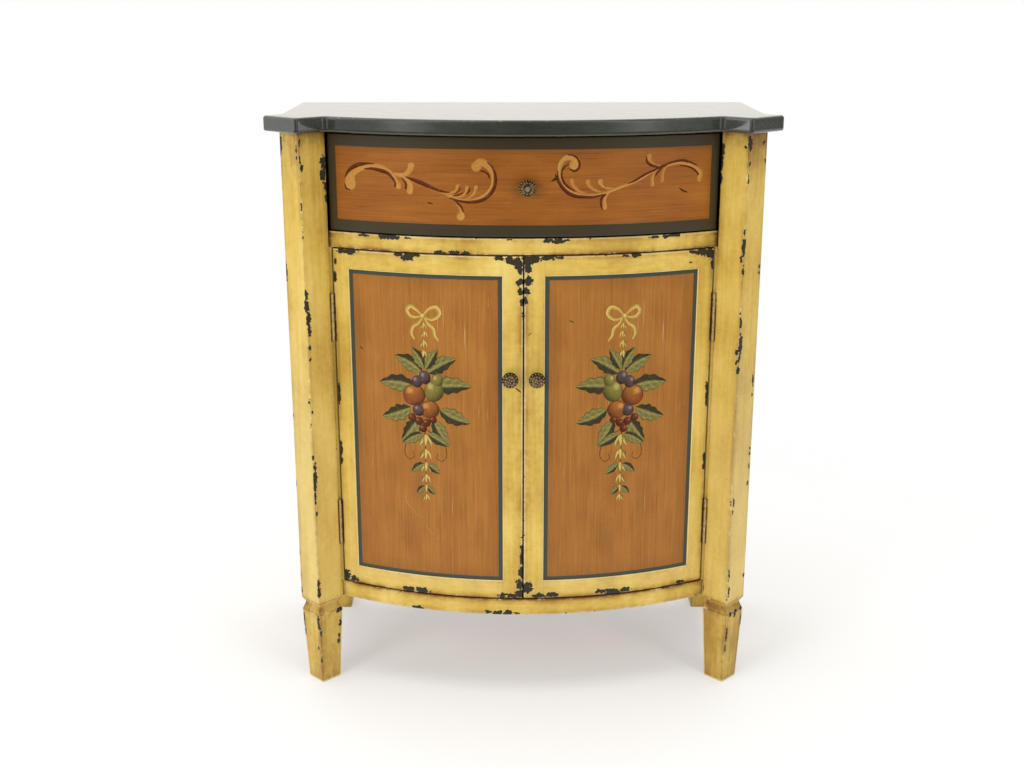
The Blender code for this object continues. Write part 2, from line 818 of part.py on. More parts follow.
def make_door(word, side, parent):
    """Stiles and rails grooved on their inner edges, round a panel that floats in the grooves."""
    name = f"{word}_door"
    inner_edge = door_inner + meeting_stile_width
    outer_edge = door_outer - hinge_stile_width
    rail_start = inner_edge + seat
    rail_end = outer_edge - seat
    opening_low = door_bottom + door_rail_width
    opening_high = door_top - door_rail_width
    tongue_outer = bow_radius - tongue_setback
    tongue_inner = tongue_outer - tongue_thickness
    tenon = groove_depth - seat

    def block(inner, outer, start, end, low, high):
        shape = bow_block(inner, outer, start, end, low, high)
        return moved(shape, Matrix.Identity(4), side)

    stiles = {}
    for part, edge, far in (
        ("meeting_stile", inner_edge, door_inner),
        ("hinge_stile", outer_edge, door_outer),
    ):
        shape = prism(on_side(stile_outline(edge, far), side), door_bottom, door_top)
        ease_front(shape, arris)
        stiles[part] = make_object(f"{name}_{part}", shape, "cream_paint", parent)

    for part, low, high in (
        ("bottom_rail", door_bottom, opening_low),
        ("top_rail", opening_high, door_top),
    ):
        shape = block(door_back_radius, bow_radius, rail_start, rail_end, low, high)
        rail = make_object(f"{name}_{part}", ease_front(shape, arris), "cream_paint", parent)
        grooved = high if part == "bottom_rail" else low
        into = -groove_depth if part == "bottom_rail" else groove_depth
        tenon_low = low if part == "bottom_rail" else low + groove_depth
        tenon_high = high - groove_depth if part == "bottom_rail" else high
        shape = block(
            tongue_inner, tongue_outer, rail_start - tenon, rail_end + tenon, tenon_low, tenon_high
        )
        combine(rail, make_cutter(f"{name}_{part}_tenon", shape), "UNION")
        low_cut, high_cut = sorted((grooved + into, grooved - into))
        shape = block(
            tongue_inner - seat,
            tongue_outer + seat,
            rail_start - groove_depth - overrun,
            rail_end + groove_depth + overrun,
            low_cut,
            high_cut,
        )
        combine(rail, make_cutter(f"{name}_{part}_groove", shape), "DIFFERENCE")

    reach = groove_depth - panel_play
    shape = block(
        tongue_inner,
        tongue_outer,
        inner_edge - reach,
        outer_edge + reach,
        opening_low - reach,
        opening_high + reach,
    )
    panel = make_object(f"{name}_panel", shape, "stained_wood", parent)
    field_radius = bow_radius - panel_recess
    middle = (tongue_inner + tongue_outer) / 2
    shape = block(
        middle,
        field_radius,
        inner_edge + seat,
        outer_edge - seat,
        opening_low + seat,
        opening_high - seat,
    )
    combine(panel, make_cutter(f"{name}_panel_field", shape), "UNION")

    knob_height = door_top - door_knob_drop
    board = stiles["meeting_stile"]
    make_knob(name, door_knob_inset, knob_height, door_thickness, board, parent, side)
    return stiles["hinge_stile"]


def knuckle_spans(own):
    """The heights, from the hinge's middle, of the knuckles that belong to one leaf."""
    pitch = hinge_length / knuckles
    first = 0 if own == "frame" else 1
    return [
        (-hinge_length / 2 + i * pitch + seat / 2, -hinge_length / 2 + (i + 1) * pitch - seat / 2)
        for i in range(first, knuckles, 2)
    ]


def make_leaf(name, own, height, side, parent):
    """A plate with fingers that run into its own knuckles, and the knuckles themselves."""
    direction = 1 if own == "frame" else -1
    spans = knuckle_spans(own)
    clear = knuckle_radius + seat
    root = pin_hole_radius + leaf_foot
    deep = hinge_reach + leaf_depth
    edge = [(clear, -hinge_length / 2)]
    for low, high in spans:
        edge += [(clear, low), (root, low), (root, high), (clear, high)]
    edge += [(clear, hinge_length / 2), (deep, hinge_length / 2), (deep, -hinge_length / 2)]
    outline = [edge[0]]
    for point in edge[1:]:
        if (Vector(point) - Vector(outline[-1])).length > seat:
            outline.append(point)
    near, far = leaf_gap / 2, leaf_gap / 2 + leaf_thickness
    rings = [[(direction * t, n, z) for n, z in outline] for t in (near, far)]
    frame = hinge_frame(height)
    leaf = make_object(name, moved(loft(rings), frame, side), "antique_brass", parent)

    for i, (low, high) in enumerate(spans):
        profile = [(pin_hole_radius, low), (knuckle_radius, low)]
        profile += [(knuckle_radius, high), (pin_hole_radius, high)]
        shape = moved(turned(profile, knuckle_facets, ring=True), frame, side)
        knuckle = make_cutter(f"{name}_knuckle_{i + 1}", shape)
        combine(leaf, knuckle, "UNION")


def make_hinge(name, height, side, jamb, stile, door):
    make_leaf(f"{name}_frame_leaf", "frame", height, side, None)
    make_leaf(f"{name}_door_leaf", "door", height, side, door)
    half = hinge_length / 2
    profile = [
        (pin_tip_radius * pin_tip_share, -half - seat - pin_tip_height),
        (pin_tip_radius, -half - seat - pin_tip_height / 2),
        (pin_tip_radius, -half - seat),
        (hinge_pin_radius, -half - seat),
        (hinge_pin_radius, half + seat),
        (pin_tip_radius, half + seat),
        (pin_tip_radius, half + seat + pin_tip_height / 2),
        (pin_tip_radius * pin_tip_share, half + seat + pin_tip_height),
    ]
    shape = moved(turned(profile, knuckle_facets), hinge_frame(height), side)
    make_object(f"{name}_pin", shape, "antique_brass", smooth=True)

    sunk = leaf_gap / 2 + leaf_thickness + seat
    for board, word, direction in ((jamb, "jamb", 1), (stile, "stile", -1)):
        ends = sorted((direction * leaf_gap / 2, direction * sunk))
        low = (ends[0], hinge_reach - overrun, -half - seat)
        high = (ends[1], hinge_reach + leaf_depth + seat, half + seat)
        shape = moved(box(low, high), hinge_frame(height), side)
        combine(board, make_cutter(f"{name}_{word}_recess", shape), "DIFFERENCE")


def make_catch(word, side, door):
    """A magnetic catch under the drawer rail, and its strike on the back of the door."""
    top = drawer_rail_bottom - seat
    strike_back = -door_thickness - strike_lift - strike_thickness
    frame = bow_frame(bow_radius, catch_from_middle, 0)
    front = strike_back - seat
    half = catch_length / 2
    slot = catch_slot_width / 2
    outline = [
        (-half, front - catch_depth),
        (half, front - catch_depth),
        (half, front),
        (slot, front),
        (slot, front - catch_slot_depth),
        (-slot, front - catch_slot_depth),
        (-slot, front),
        (-half, front),
    ]
    rings = [[(x, z, out) for x, out in outline] for z in (top - catch_height, top)]
    make_object(f"{word}_catch", moved(loft(rings), frame, side), "catch_plastic")

    strike_top = top - (catch_height - strike_height) / 2 - door_gap
    half = strike_length / 2
    shape = box(
        (-half, strike_top - strike_height, strike_back),
        (half, strike_top, strike_back + strike_thickness),
    )
    make_object(f"{word}_strike_plate", moved(shape, frame, side), "steel", door)


def build_cabinet():
    clear_scene()
    make_top()
    for word, side in (("left", -1), ("right", 1)):
        make_front_leg(f"front_leg_{word}", side)
        make_rear_leg(f"rear_leg_{word}", side)
        make_side_panel(f"side_panel_{word}", side)
        make_runner(f"drawer_runner_{word}", side)
    make_front_rails()
    make_boards()
    make_back()
    make_shelf_pins()
    make_drawer(make_empty("drawer_slide", (0, post_y, drawer_rail_top)))
    for word, side in (("left", -1), ("right", 1)):
        door = make_empty(f"{word}_door_hinge", (side * hinge_axis_x, hinge_y, door_bottom))
        jamb = make_door_jamb(f"door_jamb_{word}", side)
        stile = make_door(word, side, door)
        for place, height in (
            ("upper", door_top - upper_hinge_inset),
            ("lower", door_bottom + lower_hinge_inset),
        ):
            make_hinge(f"{word}_{place}_hinge", height, side, jamb, stile, door)
        make_catch(word, side, door)


build_cabinet()
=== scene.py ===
import math

import bmesh
import bpy
import numpy as np
from mathutils import Matrix, Vector
from mathutils.geometry import delaunay_2d_cdt


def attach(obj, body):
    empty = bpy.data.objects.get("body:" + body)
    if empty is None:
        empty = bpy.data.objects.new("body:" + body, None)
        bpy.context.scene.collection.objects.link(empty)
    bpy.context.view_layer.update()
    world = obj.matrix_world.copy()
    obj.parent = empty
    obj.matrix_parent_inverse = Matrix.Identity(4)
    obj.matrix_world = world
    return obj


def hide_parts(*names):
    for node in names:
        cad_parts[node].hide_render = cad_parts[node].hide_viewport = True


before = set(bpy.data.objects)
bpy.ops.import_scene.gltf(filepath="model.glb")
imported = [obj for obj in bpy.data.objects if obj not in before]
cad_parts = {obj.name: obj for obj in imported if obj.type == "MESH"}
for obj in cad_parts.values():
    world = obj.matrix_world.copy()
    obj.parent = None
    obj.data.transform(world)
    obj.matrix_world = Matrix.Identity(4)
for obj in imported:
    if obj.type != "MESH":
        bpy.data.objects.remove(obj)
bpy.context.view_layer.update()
print("frame loaded:", len(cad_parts), "nodes")

mm = 0.001

# the bow that the drawer, the doors and their rails follow
bow = {"radius": 600.317 * mm, "centreY": 438.817 * mm}


def linear(code):
    parts = [int(code[i:i + 2], 16) / 255 for i in (0, 2, 4)]
    return (*[c / 12.92 if c <= 0.04045 else ((c + 0.055) / 1.055) ** 2.4 for c in parts], 1)


# adds a node; a link may be a socket, a node (its shown output is taken) or a plain value
def addNode(tree, kind, links=None, stops=None, **settings):
    made = tree.nodes.new(kind)
    for name, value in settings.items():
        setattr(made, name, value)
    if stops:
        elements = made.color_ramp.elements
        elements[0].position = stops[0][0]
        elements[1].position = stops[-1][0]
        for place, _ in stops[1:-1]:
            elements.new(place)
        for element, (_, colour) in zip(elements, stops):
            element.color = linear(colour)
    for name, value in (links or {}).items():
        if isinstance(value, bpy.types.Node):
            value = next(out for out in value.outputs if out.enabled)
        if isinstance(value, bpy.types.NodeSocket):
            tree.links.new(value, made.inputs[name])
        else:
            made.inputs[name].default_value = value
    return made


def newFinish(name):
    material = bpy.data.materials.new(name)
    material.use_nodes = True
    tree = material.node_tree
    tree.nodes.clear()
    shader = addNode(tree, "ShaderNodeBsdfPrincipled")
    addNode(tree, "ShaderNodeOutputMaterial", {"Surface": shader})
    return material, tree, shader


# spots about size metres across, drawn out along an axis by stretch
def spots(tree, coords, size, stretch=(1, 1, 1), detail=3.0, rough=0.55, shift=0.0):
    placed = addNode(tree, "ShaderNodeMapping", {
        "Vector": coords, "Location": (shift, shift, shift), "Scale": [1 / (size * s) for s in stretch]})
    return addNode(tree, "ShaderNodeTexNoise", {"Vector": placed, "Scale": 1.0, "Detail": detail, "Roughness": rough})


# Hand-brushed oil paint over a dark undercoat, glazed with brown wax and rubbed through at the
# edges: a satin mustard cream, clouded and faintly brushed, brown in the corners, with a thin brown
# line along each arris and ragged flakes that show a dark grey-brown inside a pale rim. The shade
# attribute also paints shade and light into the colour: painted shadow in the glaze's brown, near
# black above 1, and below 0 a pale rim, partly rubbed wear and partly painted highlight and painted
# light from the floor.
creamPaint = {
    "light": "e2c56d", "middle": "d3b251", "deep": "bf983c", "glazeAndShade": "7d4f1a", "line": "5c3c14",
    "undercoat": "302c1e", "underBrown": "2a1d0e", "rim": "ecdcae",
    "streak": 5 * mm, "cloud": 60 * mm, "mottle": 9 * mm, "flake": 4.2 * mm, "crumb": 1.5 * mm, "scallop": 4.6 * mm,
    "patch": 22 * mm, "roughness": 0.42, "flakeRoughness": 0.6, "specular": 0.38}


def brushedPaint(name, along):
    look = creamPaint
    material, tree, shader = newFinish(name)
    stretch = [26 if axis == along else 1 for axis in "xyz"]
    coords = addNode(tree, "ShaderNodeTexCoord").outputs["Object"]
    arris = addNode(tree, "ShaderNodeAttribute", attribute_name="arris").outputs["Fac"]
    chip = addNode(tree, "ShaderNodeAttribute", attribute_name="chip").outputs["Fac"]
    shade = addNode(tree, "ShaderNodeAttribute", attribute_name="shade").outputs["Fac"]
    streak = spots(tree, coords, look["streak"], stretch, detail=3)
    cloud = spots(tree, coords, look["cloud"], (1, 1, 2), detail=4, shift=3)
    mottle = spots(tree, coords, look["mottle"], detail=5, rough=0.65, shift=7)
    flake = spots(tree, coords, look["flake"], [1.5 if s > 1 else 1 for s in stretch], detail=5, rough=0.7, shift=11)
    crumb = spots(tree, coords, look["crumb"], detail=2, shift=19)
    patch = spots(tree, coords, look["patch"], detail=3, shift=17)

    # colour of the paint: clouds, faint streaks and mottle, light to deep
    mixed = addNode(tree, "ShaderNodeMix", {0: 0.27, 2: cloud, 3: streak})
    mixed = addNode(tree, "ShaderNodeMix", {0: 0.2, 2: mixed, 3: mottle})
    paint = addNode(tree, "ShaderNodeValToRGB", {"Fac": mixed}, stops=[
        (0.37, look["deep"]), (0.51, look["middle"]), (0.66, look["light"])])

    # brown glaze gathers towards edges and in corners, and the shade attribute adds painted shadow in the same brown
    near = addNode(tree, "ShaderNodeMath", {0: arris, 1: 1.4}, operation="POWER")
    deep = addNode(tree, "ShaderNodeMath", {0: shade, 1: 0.0}, operation="MAXIMUM")
    glazeAndShade = addNode(tree, "ShaderNodeMath", {0: near, 1: 0.5, 2: deep}, operation="MULTIPLY_ADD")
    blotch = addNode(tree, "ShaderNodeMapRange", {0: mixed, 1: 0.6, 2: 0.4}, interpolation_type="SMOOTHSTEP")
    uneven = addNode(tree, "ShaderNodeMath", {0: blotch, 1: 0.7, 2: 0.32}, operation="MULTIPLY_ADD")
    glazeAndShade = addNode(tree, "ShaderNodeMath", {0: glazeAndShade, 1: uneven}, operation="MULTIPLY", use_clamp=True)
    browned = addNode(tree, "ShaderNodeMix", {0: glazeAndShade, 6: paint, 7: linear(look["glazeAndShade"])}, data_type="RGBA")
    # shade above 1 paints the gaps and the sides of the hinges near black brown, a painted shadow
    deepShade = addNode(tree, "ShaderNodeMath", {0: shade, 1: -1.0}, operation="ADD", use_clamp=True)
    browned = addNode(tree, "ShaderNodeMix", {0: deepShade, 6: browned, 7: linear(look["underBrown"])}, data_type="RGBA")

    # a fine brown line on the arris, rubbed pale in short runs, and a pale rim where shade is below 0, partly rubbed
    # wear and partly painted highlight and painted light from the floor
    line = addNode(tree, "ShaderNodeMapRange", {0: arris, 1: 0.86, 2: 0.95, 4: 0.5}, interpolation_type="SMOOTHSTEP")
    lined = addNode(tree, "ShaderNodeMix", {0: line, 6: browned, 7: linear(look["line"])}, data_type="RGBA")
    bright = addNode(tree, "ShaderNodeMath", {0: shade, 1: -1.0}, operation="MULTIPLY", use_clamp=True)
    lined = addNode(tree, "ShaderNodeMix", {0: bright, 6: lined, 7: linear(look["rim"])}, data_type="RGBA")
    thin = addNode(tree, "ShaderNodeMapRange", {0: arris, 1: 0.8, 2: 0.9}, interpolation_type="SMOOTHSTEP")
    rubPatch = addNode(tree, "ShaderNodeMapRange", {0: mottle, 1: 0.5, 2: 0.56}, interpolation_type="SMOOTHSTEP")
    rub = addNode(tree, "ShaderNodeMath", {0: thin, 1: rubPatch}, operation="MULTIPLY")
    runs = addNode(tree, "ShaderNodeMapRange", {0: patch, 1: 0.45, 2: 0.6, 4: 0.6})
    rub = addNode(tree, "ShaderNodeMath", {0: rub, 1: runs}, operation="MULTIPLY")
    paleEdge = addNode(tree, "ShaderNodeMix", {0: rub, 6: lined, 7: linear(look["rim"])}, data_type="RGBA")

    # flakes: the placed ones, and small ones scattered along the arrises
    stray = addNode(tree, "ShaderNodeMapRange", {0: patch, 1: 0.56, 2: 0.66})
    sharp = addNode(tree, "ShaderNodeMapRange", {0: arris, 1: 0.62, 2: 0.95})
    stray = addNode(tree, "ShaderNodeMath", {0: stray, 1: sharp}, operation="MULTIPLY")
    placed = addNode(tree, "ShaderNodeMath", {0: stray, 1: 0.45, 2: chip}, operation="MULTIPLY_ADD")
    ragged = addNode(tree, "ShaderNodeMix", {0: 0.3, 2: flake, 3: crumb})
    ragged = addNode(tree, "ShaderNodeMath", {0: ragged, 1: 0.5}, operation="SUBTRACT")
    cells = addNode(tree, "ShaderNodeMapping", {"Vector": coords, "Scale": [1 / look["scallop"]] * 3})
    scallop = addNode(tree, "ShaderNodeTexVoronoi", {"Vector": cells, "Scale": 1.0}).outputs["Distance"]
    scallop = addNode(tree, "ShaderNodeMath", {0: scallop, 1: -1.2, 2: 0.58}, operation="MULTIPLY_ADD")
    wild = addNode(tree, "ShaderNodeMath", {0: ragged, 1: 2.4, 2: scallop}, operation="MULTIPLY_ADD")
    near = addNode(tree, "ShaderNodeMapRange", {0: placed, 1: 0.02, 2: 0.22})
    wild = addNode(tree, "ShaderNodeMath", {0: wild, 1: near}, operation="MULTIPLY")
    field = addNode(tree, "ShaderNodeMath", {0: placed, 1: 1.3, 2: wild}, operation="MULTIPLY_ADD")
    bare = addNode(tree, "ShaderNodeMapRange", {0: field, 1: 0.50, 2: 0.55}, interpolation_type="SMOOTHSTEP")
    edge = addNode(tree, "ShaderNodeMapRange", {0: field, 1: 0.36, 2: 0.46}, interpolation_type="SMOOTHSTEP")
    underPatch = addNode(tree, "ShaderNodeMapRange", {0: field, 1: 0.85, 2: 0.6})
    under = addNode(tree, "ShaderNodeMix", {
        0: underPatch, 6: linear(look["undercoat"]), 7: linear(look["underBrown"])}, data_type="RGBA")
    reached = addNode(tree, "ShaderNodeMapRange", {0: placed, 1: 0.1, 2: 0.35, 4: 0.5})
    rimmed = addNode(tree, "ShaderNodeMath", {0: edge, 1: reached}, operation="MULTIPLY")
    wornAndLit = addNode(tree, "ShaderNodeMix", {0: rimmed, 6: paleEdge, 7: linear(look["rim"])}, data_type="RGBA")

    # pinholes and brown specks
    speck = spots(tree, coords, 2.2 * mm, detail=2, shift=23)
    specks = addNode(tree, "ShaderNodeMapRange", {0: speck, 1: 0.715, 2: 0.74, 4: 0.7})
    wornAndLit = addNode(tree, "ShaderNodeMix", {0: specks, 6: wornAndLit, 7: linear(look["line"])}, data_type="RGBA")
    colour = addNode(tree, "ShaderNodeMix", {0: bare, 6: wornAndLit, 7: under}, data_type="RGBA")

    height = addNode(tree, "ShaderNodeMath", {0: streak, 1: 0.2}, operation="MULTIPLY")
    height = addNode(tree, "ShaderNodeMath", {0: mottle, 1: 0.3, 2: height}, operation="MULTIPLY_ADD")
    height = addNode(tree, "ShaderNodeMath", {0: height, 1: bare}, operation="SUBTRACT")
    bump = addNode(tree, "ShaderNodeBump", {"Height": height, "Distance": 0.35 * mm, "Strength": 0.8})
    dull = addNode(tree, "ShaderNodeMix", {0: bare, 2: look["roughness"], 3: look["flakeRoughness"]})
    satin = addNode(tree, "ShaderNodeMath", {0: mottle, 1: 0.12, 2: dull}, operation="MULTIPLY_ADD")
    for name, value in (("Base Color", colour), ("Roughness", satin), ("Normal", bump)):
        tree.links.new(next(out for out in value.outputs if out.enabled), shader.inputs[name])
    shader.inputs["Specular IOR Level"].default_value = look["specular"]
    return material


# Dark green-black enamel rubbed back to a wax shine: nearly black face-on, mirror pale along the
# flat, with low waves of the wood under it and fine pale nicks on the upper arris.
topEnamel = {
    "base": "262820", "light": "33362c", "nick": "b3ac86", "pallor": "6e6248",
    "wave": 60 * mm, "fine": 5 * mm, "roughness": 0.26, "coat": 1.0, "coatRoughness": 0.07}


def darkEnamel():
    look = topEnamel
    material, tree, shader = newFinish("darkEnamel")
    coords = addNode(tree, "ShaderNodeTexCoord").outputs["Object"]
    arris = addNode(tree, "ShaderNodeAttribute", attribute_name="arris").outputs["Fac"]
    wave = spots(tree, coords, look["wave"], (4, 1, 1), detail=2)
    fine = spots(tree, coords, look["fine"], (6, 1, 1), detail=5)
    patch = spots(tree, coords, 12 * mm, detail=4, rough=0.65, shift=5)
    mixed = addNode(tree, "ShaderNodeMix", {0: 0.5, 2: wave, 3: fine})
    base = addNode(tree, "ShaderNodeValToRGB", {"Fac": mixed}, stops=[(0.38, look["base"]), (0.62, look["light"])])
    thin = addNode(tree, "ShaderNodeMapRange", {0: arris, 1: 0.86, 2: 0.99})
    spotty = addNode(tree, "ShaderNodeMapRange", {0: patch, 1: 0.60, 2: 0.66}, interpolation_type="SMOOTHSTEP")
    nick = addNode(tree, "ShaderNodeMath", {0: thin, 1: spotty}, operation="MULTIPLY")
    nick = addNode(tree, "ShaderNodeMath", {0: nick, 1: 0.65}, operation="MULTIPLY")
    paleEdge = addNode(tree, "ShaderNodeMapRange", {0: arris, 1: 0.55, 2: 1.0, 4: 0.12})
    softened = addNode(tree, "ShaderNodeMix", {0: paleEdge, 6: base, 7: linear(look["pallor"])}, data_type="RGBA")
    colour = addNode(tree, "ShaderNodeMix", {0: nick, 6: softened, 7: linear(look["nick"])}, data_type="RGBA")
    height = addNode(tree, "ShaderNodeMath", {0: fine, 1: 0.06, 2: wave}, operation="MULTIPLY_ADD")
    bump = addNode(tree, "ShaderNodeBump", {"Height": height, "Distance": 0.15 * mm, "Strength": 0.35})
    satin = addNode(tree, "ShaderNodeMath", {0: fine, 1: 0.16, 2: look["roughness"] - 0.08}, operation="MULTIPLY_ADD")
    for name, value in (("Base Color", colour), ("Roughness", satin), ("Normal", bump)):
        tree.links.new(next(out for out in value.outputs if out.enabled), shader.inputs[name])
    shader.inputs["Coat Weight"].default_value = look["coat"]
    shader.inputs["Coat Roughness"].default_value = look["coatRoughness"]
    return material


# Stained and waxed cherry-coloured veneer inside a hand-painted dark band. The place on the board
# is read from the piece's own flat attribute, so the grain and the band follow the bow.
def bandedWood(name, look):
    material, tree, shader = newFinish(name)
    flat = addNode(tree, "ShaderNodeAttribute", attribute_name="flat").outputs["Vector"]
    stretch = [look["grainLength"] if axis == look["along"] else 1 for axis in "xyz"]
    fibre = spots(tree, flat, 1.9 * mm, stretch, detail=3, rough=0.6)
    figure = spots(tree, flat, 7 * mm, [s * 0.6 for s in stretch], detail=3, shift=2)
    cloud = spots(tree, flat, 55 * mm, [1.8 if s > 1 else 1 for s in stretch], detail=3, shift=6)
    wobble = spots(tree, flat, 16 * mm, detail=2, shift=9)
    mixed = addNode(tree, "ShaderNodeMix", {0: 0.6, 2: figure, 3: fibre})
    mixed = addNode(tree, "ShaderNodeMix", {0: 0.42, 2: mixed, 3: cloud})
    grit = spots(tree, flat, 2.4 * mm, detail=4, rough=0.7, shift=13)
    mixed = addNode(tree, "ShaderNodeMix", {0: 0.2, 2: mixed, 3: grit})
    wood = addNode(tree, "ShaderNodeValToRGB", {"Fac": mixed}, stops=look["tones"])

    # dark pores and a few pale scratches along the grain
    pore = spots(tree, flat, 1.6 * mm, [s * 0.8 for s in stretch], detail=3, shift=21)
    pores = addNode(tree, "ShaderNodeMapRange", {0: pore, 1: 0.54, 2: 0.68, 4: look["pores"]})
    wood = addNode(tree, "ShaderNodeMix", {0: pores, 6: wood, 7: linear(look["pore"])}, data_type="RGBA")
    scratch = spots(tree, flat, 0.9 * mm, [s * 2.2 for s in stretch], detail=1, shift=31)
    region = spots(tree, flat, 45 * mm, detail=1, shift=27)
    scratched = addNode(tree, "ShaderNodeMapRange", {0: scratch, 1: 0.70, 2: 0.75, 4: look["scratches"]})
    region = addNode(tree, "ShaderNodeMapRange", {0: region, 1: 0.48, 2: 0.6})
    scratched = addNode(tree, "ShaderNodeMath", {0: scratched, 1: region}, operation="MULTIPLY")
    wood = addNode(tree, "ShaderNodeMix", {0: scratched, 6: wood, 7: linear(look["scratch"])}, data_type="RGBA")

    # how far a point lies outside the bare field, in metres, with a hand-painted wobble
    place = addNode(tree, "ShaderNodeSeparateXYZ", {0: flat})
    outside = []
    for axis, half in (("X", look["fieldHalf"][0]), ("Z", look["fieldHalf"][1])):
        reach = addNode(tree, "ShaderNodeMath", {0: place.outputs[axis]}, operation="ABSOLUTE")
        outside.append(addNode(tree, "ShaderNodeMath", {0: reach, 1: half}, operation="SUBTRACT"))
    out = addNode(tree, "ShaderNodeMath", {0: outside[0], 1: outside[1]}, operation="MAXIMUM")
    shaky = addNode(tree, "ShaderNodeMath", {0: wobble, 1: look["wobble"], 2: out}, operation="MULTIPLY_ADD")
    shaky = addNode(tree, "ShaderNodeMath", {0: shaky, 1: look["wobble"] / 2}, operation="SUBTRACT")
    band = addNode(tree, "ShaderNodeMapRange", {0: shaky, 1: -0.25 * mm, 2: 0.25 * mm}, interpolation_type="SMOOTHSTEP")
    glow = addNode(tree, "ShaderNodeMapRange", {0: shaky, 1: -look["glowWidth"], 2: 0.0, 4: look["glow"]})
    wood = addNode(tree, "ShaderNodeMix", {0: glow, 6: wood, 7: linear(look["glowColour"])}, data_type="RGBA")
    blotch = addNode(tree, "ShaderNodeMix", {
        0: mixed, 6: linear(look["band"]), 7: linear(look["bandLight"])}, data_type="RGBA")
    # the knob's painted shadow, on the drawer front only
    knobShadow = addNode(tree, "ShaderNodeAttribute", attribute_name="knobShadow").outputs["Fac"]
    wood = addNode(tree, "ShaderNodeMix", {0: knobShadow, 6: wood, 7: linear(look["glowColour"])}, data_type="RGBA")
    # the back of the board has no band
    facing = addNode(tree, "ShaderNodeMath", {0: place.outputs["Y"], 1: 0.0}, operation="LESS_THAN")
    band = addNode(tree, "ShaderNodeMath", {0: band, 1: facing}, operation="MULTIPLY")
    colour = addNode(tree, "ShaderNodeMix", {0: band, 6: wood, 7: blotch}, data_type="RGBA")
    height = addNode(tree, "ShaderNodeMath", {0: fibre, 1: 0.5, 2: band}, operation="MULTIPLY_ADD")
    bump = addNode(tree, "ShaderNodeBump", {"Height": height, "Distance": 0.12 * mm, "Strength": 0.6})
    satin = addNode(tree, "ShaderNodeMath", {0: fibre, 1: 0.2, 2: look["roughness"]}, operation="MULTIPLY_ADD")
    for name, value in (("Base Color", colour), ("Roughness", satin), ("Normal", bump)):
        tree.links.new(next(out for out in value.outputs if out.enabled), shader.inputs[name])
    shader.inputs["Specular IOR Level"].default_value = look["specular"]
    return material


# Artist's oil laid on by hand: each stroke carries its own pigment, streaked along the brush and a
# little thin, with a low gloss.
def strokePaint():
    material, tree, shader = newFinish("strokePaint")
    coords = addNode(tree, "ShaderNodeTexCoord").outputs["Object"]
    pigment = addNode(tree, "ShaderNodeAttribute", attribute_name="pigment").outputs["Color"]
    grain = spots(tree, coords, 1.6 * mm, detail=4, rough=0.65)
    patch = spots(tree, coords, 6 * mm, detail=3, shift=4)
    darker = addNode(tree, "ShaderNodeMapRange", {0: grain, 1: 0.62, 2: 0.36, 4: 0.28})
    colour = addNode(tree, "ShaderNodeMix", {0: darker, 6: pigment, 7: linear("3c2a16")}, data_type="RGBA")
    lighter = addNode(tree, "ShaderNodeMapRange", {0: patch, 1: 0.52, 2: 0.72, 4: 0.05})
    colour = addNode(tree, "ShaderNodeMix", {0: lighter, 6: colour, 7: linear("e6c88c")}, data_type="RGBA")
    bump = addNode(tree, "ShaderNodeBump", {"Height": grain, "Distance": 0.1 * mm, "Strength": 0.5})
    satin = addNode(tree, "ShaderNodeMath", {0: patch, 1: 0.2, 2: 0.32}, operation="MULTIPLY_ADD")
    for name, value in (("Base Color", colour), ("Roughness", satin), ("Normal", bump)):
        tree.links.new(next(out for out in value.outputs if out.enabled), shader.inputs[name])
    shader.inputs["Specular IOR Level"].default_value = 0.16
    return material


# Cast or rolled brass left to go brown: dark in the hollows, rubbed to a dull gold on what stands
# proud (the polishAndSheen attribute); on the hinge knuckles the same attribute carries a painted highlight.
def agedBrass(name, dark, bright, roughness, metallic=1.0):
    material, tree, shader = newFinish(name)
    coords = addNode(tree, "ShaderNodeTexCoord").outputs["Object"]
    polishAndSheen = addNode(tree, "ShaderNodeAttribute", attribute_name="polishAndSheen").outputs["Fac"]
    grain = spots(tree, coords, 0.9 * mm, detail=4, rough=0.65)
    patch = spots(tree, coords, 5 * mm, detail=3, shift=3)
    shine = addNode(tree, "ShaderNodeMath", {0: patch, 1: 0.9, 2: polishAndSheen}, operation="MULTIPLY_ADD")
    shine = addNode(tree, "ShaderNodeMapRange", {0: shine, 1: 0.75, 2: 1.45}, interpolation_type="SMOOTHSTEP")
    colour = addNode(tree, "ShaderNodeMix", {0: shine, 6: linear(dark), 7: linear(bright)}, data_type="RGBA")
    bump = addNode(tree, "ShaderNodeBump", {"Height": grain, "Distance": 0.12 * mm, "Strength": 0.5})
    satin = addNode(tree, "ShaderNodeMath", {0: grain, 1: 0.3, 2: roughness}, operation="MULTIPLY_ADD")
    for name, value in (("Base Color", colour), ("Roughness", satin), ("Normal", bump)):
        tree.links.new(next(out for out in value.outputs if out.enabled), shader.inputs[name])
    shader.inputs["Metallic"].default_value = metallic
    return material


# Bare or stained board: plain long grain with a soft figure, matt
def plainBoard(name, along, tones, roughness=0.55):
    material, tree, shader = newFinish(name)
    coords = addNode(tree, "ShaderNodeTexCoord").outputs["Object"]
    stretch = [28 if axis == along else 1 for axis in "xyz"]
    fibre = spots(tree, coords, 1.2 * mm, stretch, detail=3, rough=0.6)
    figure = spots(tree, coords, 11 * mm, [s * 0.6 for s in stretch], detail=3, shift=2)
    mixed = addNode(tree, "ShaderNodeMix", {0: 0.35, 2: figure, 3: fibre})
    colour = addNode(tree, "ShaderNodeValToRGB", {"Fac": mixed}, stops=tones)
    bump = addNode(tree, "ShaderNodeBump", {"Height": fibre, "Distance": 0.12 * mm, "Strength": 0.5})
    satin = addNode(tree, "ShaderNodeMath", {0: fibre, 1: 0.2, 2: roughness}, operation="MULTIPLY_ADD")
    for name, value in (("Base Color", colour), ("Roughness", satin), ("Normal", bump)):
        tree.links.new(next(out for out in value.outputs if out.enabled), shader.inputs[name])
    return material


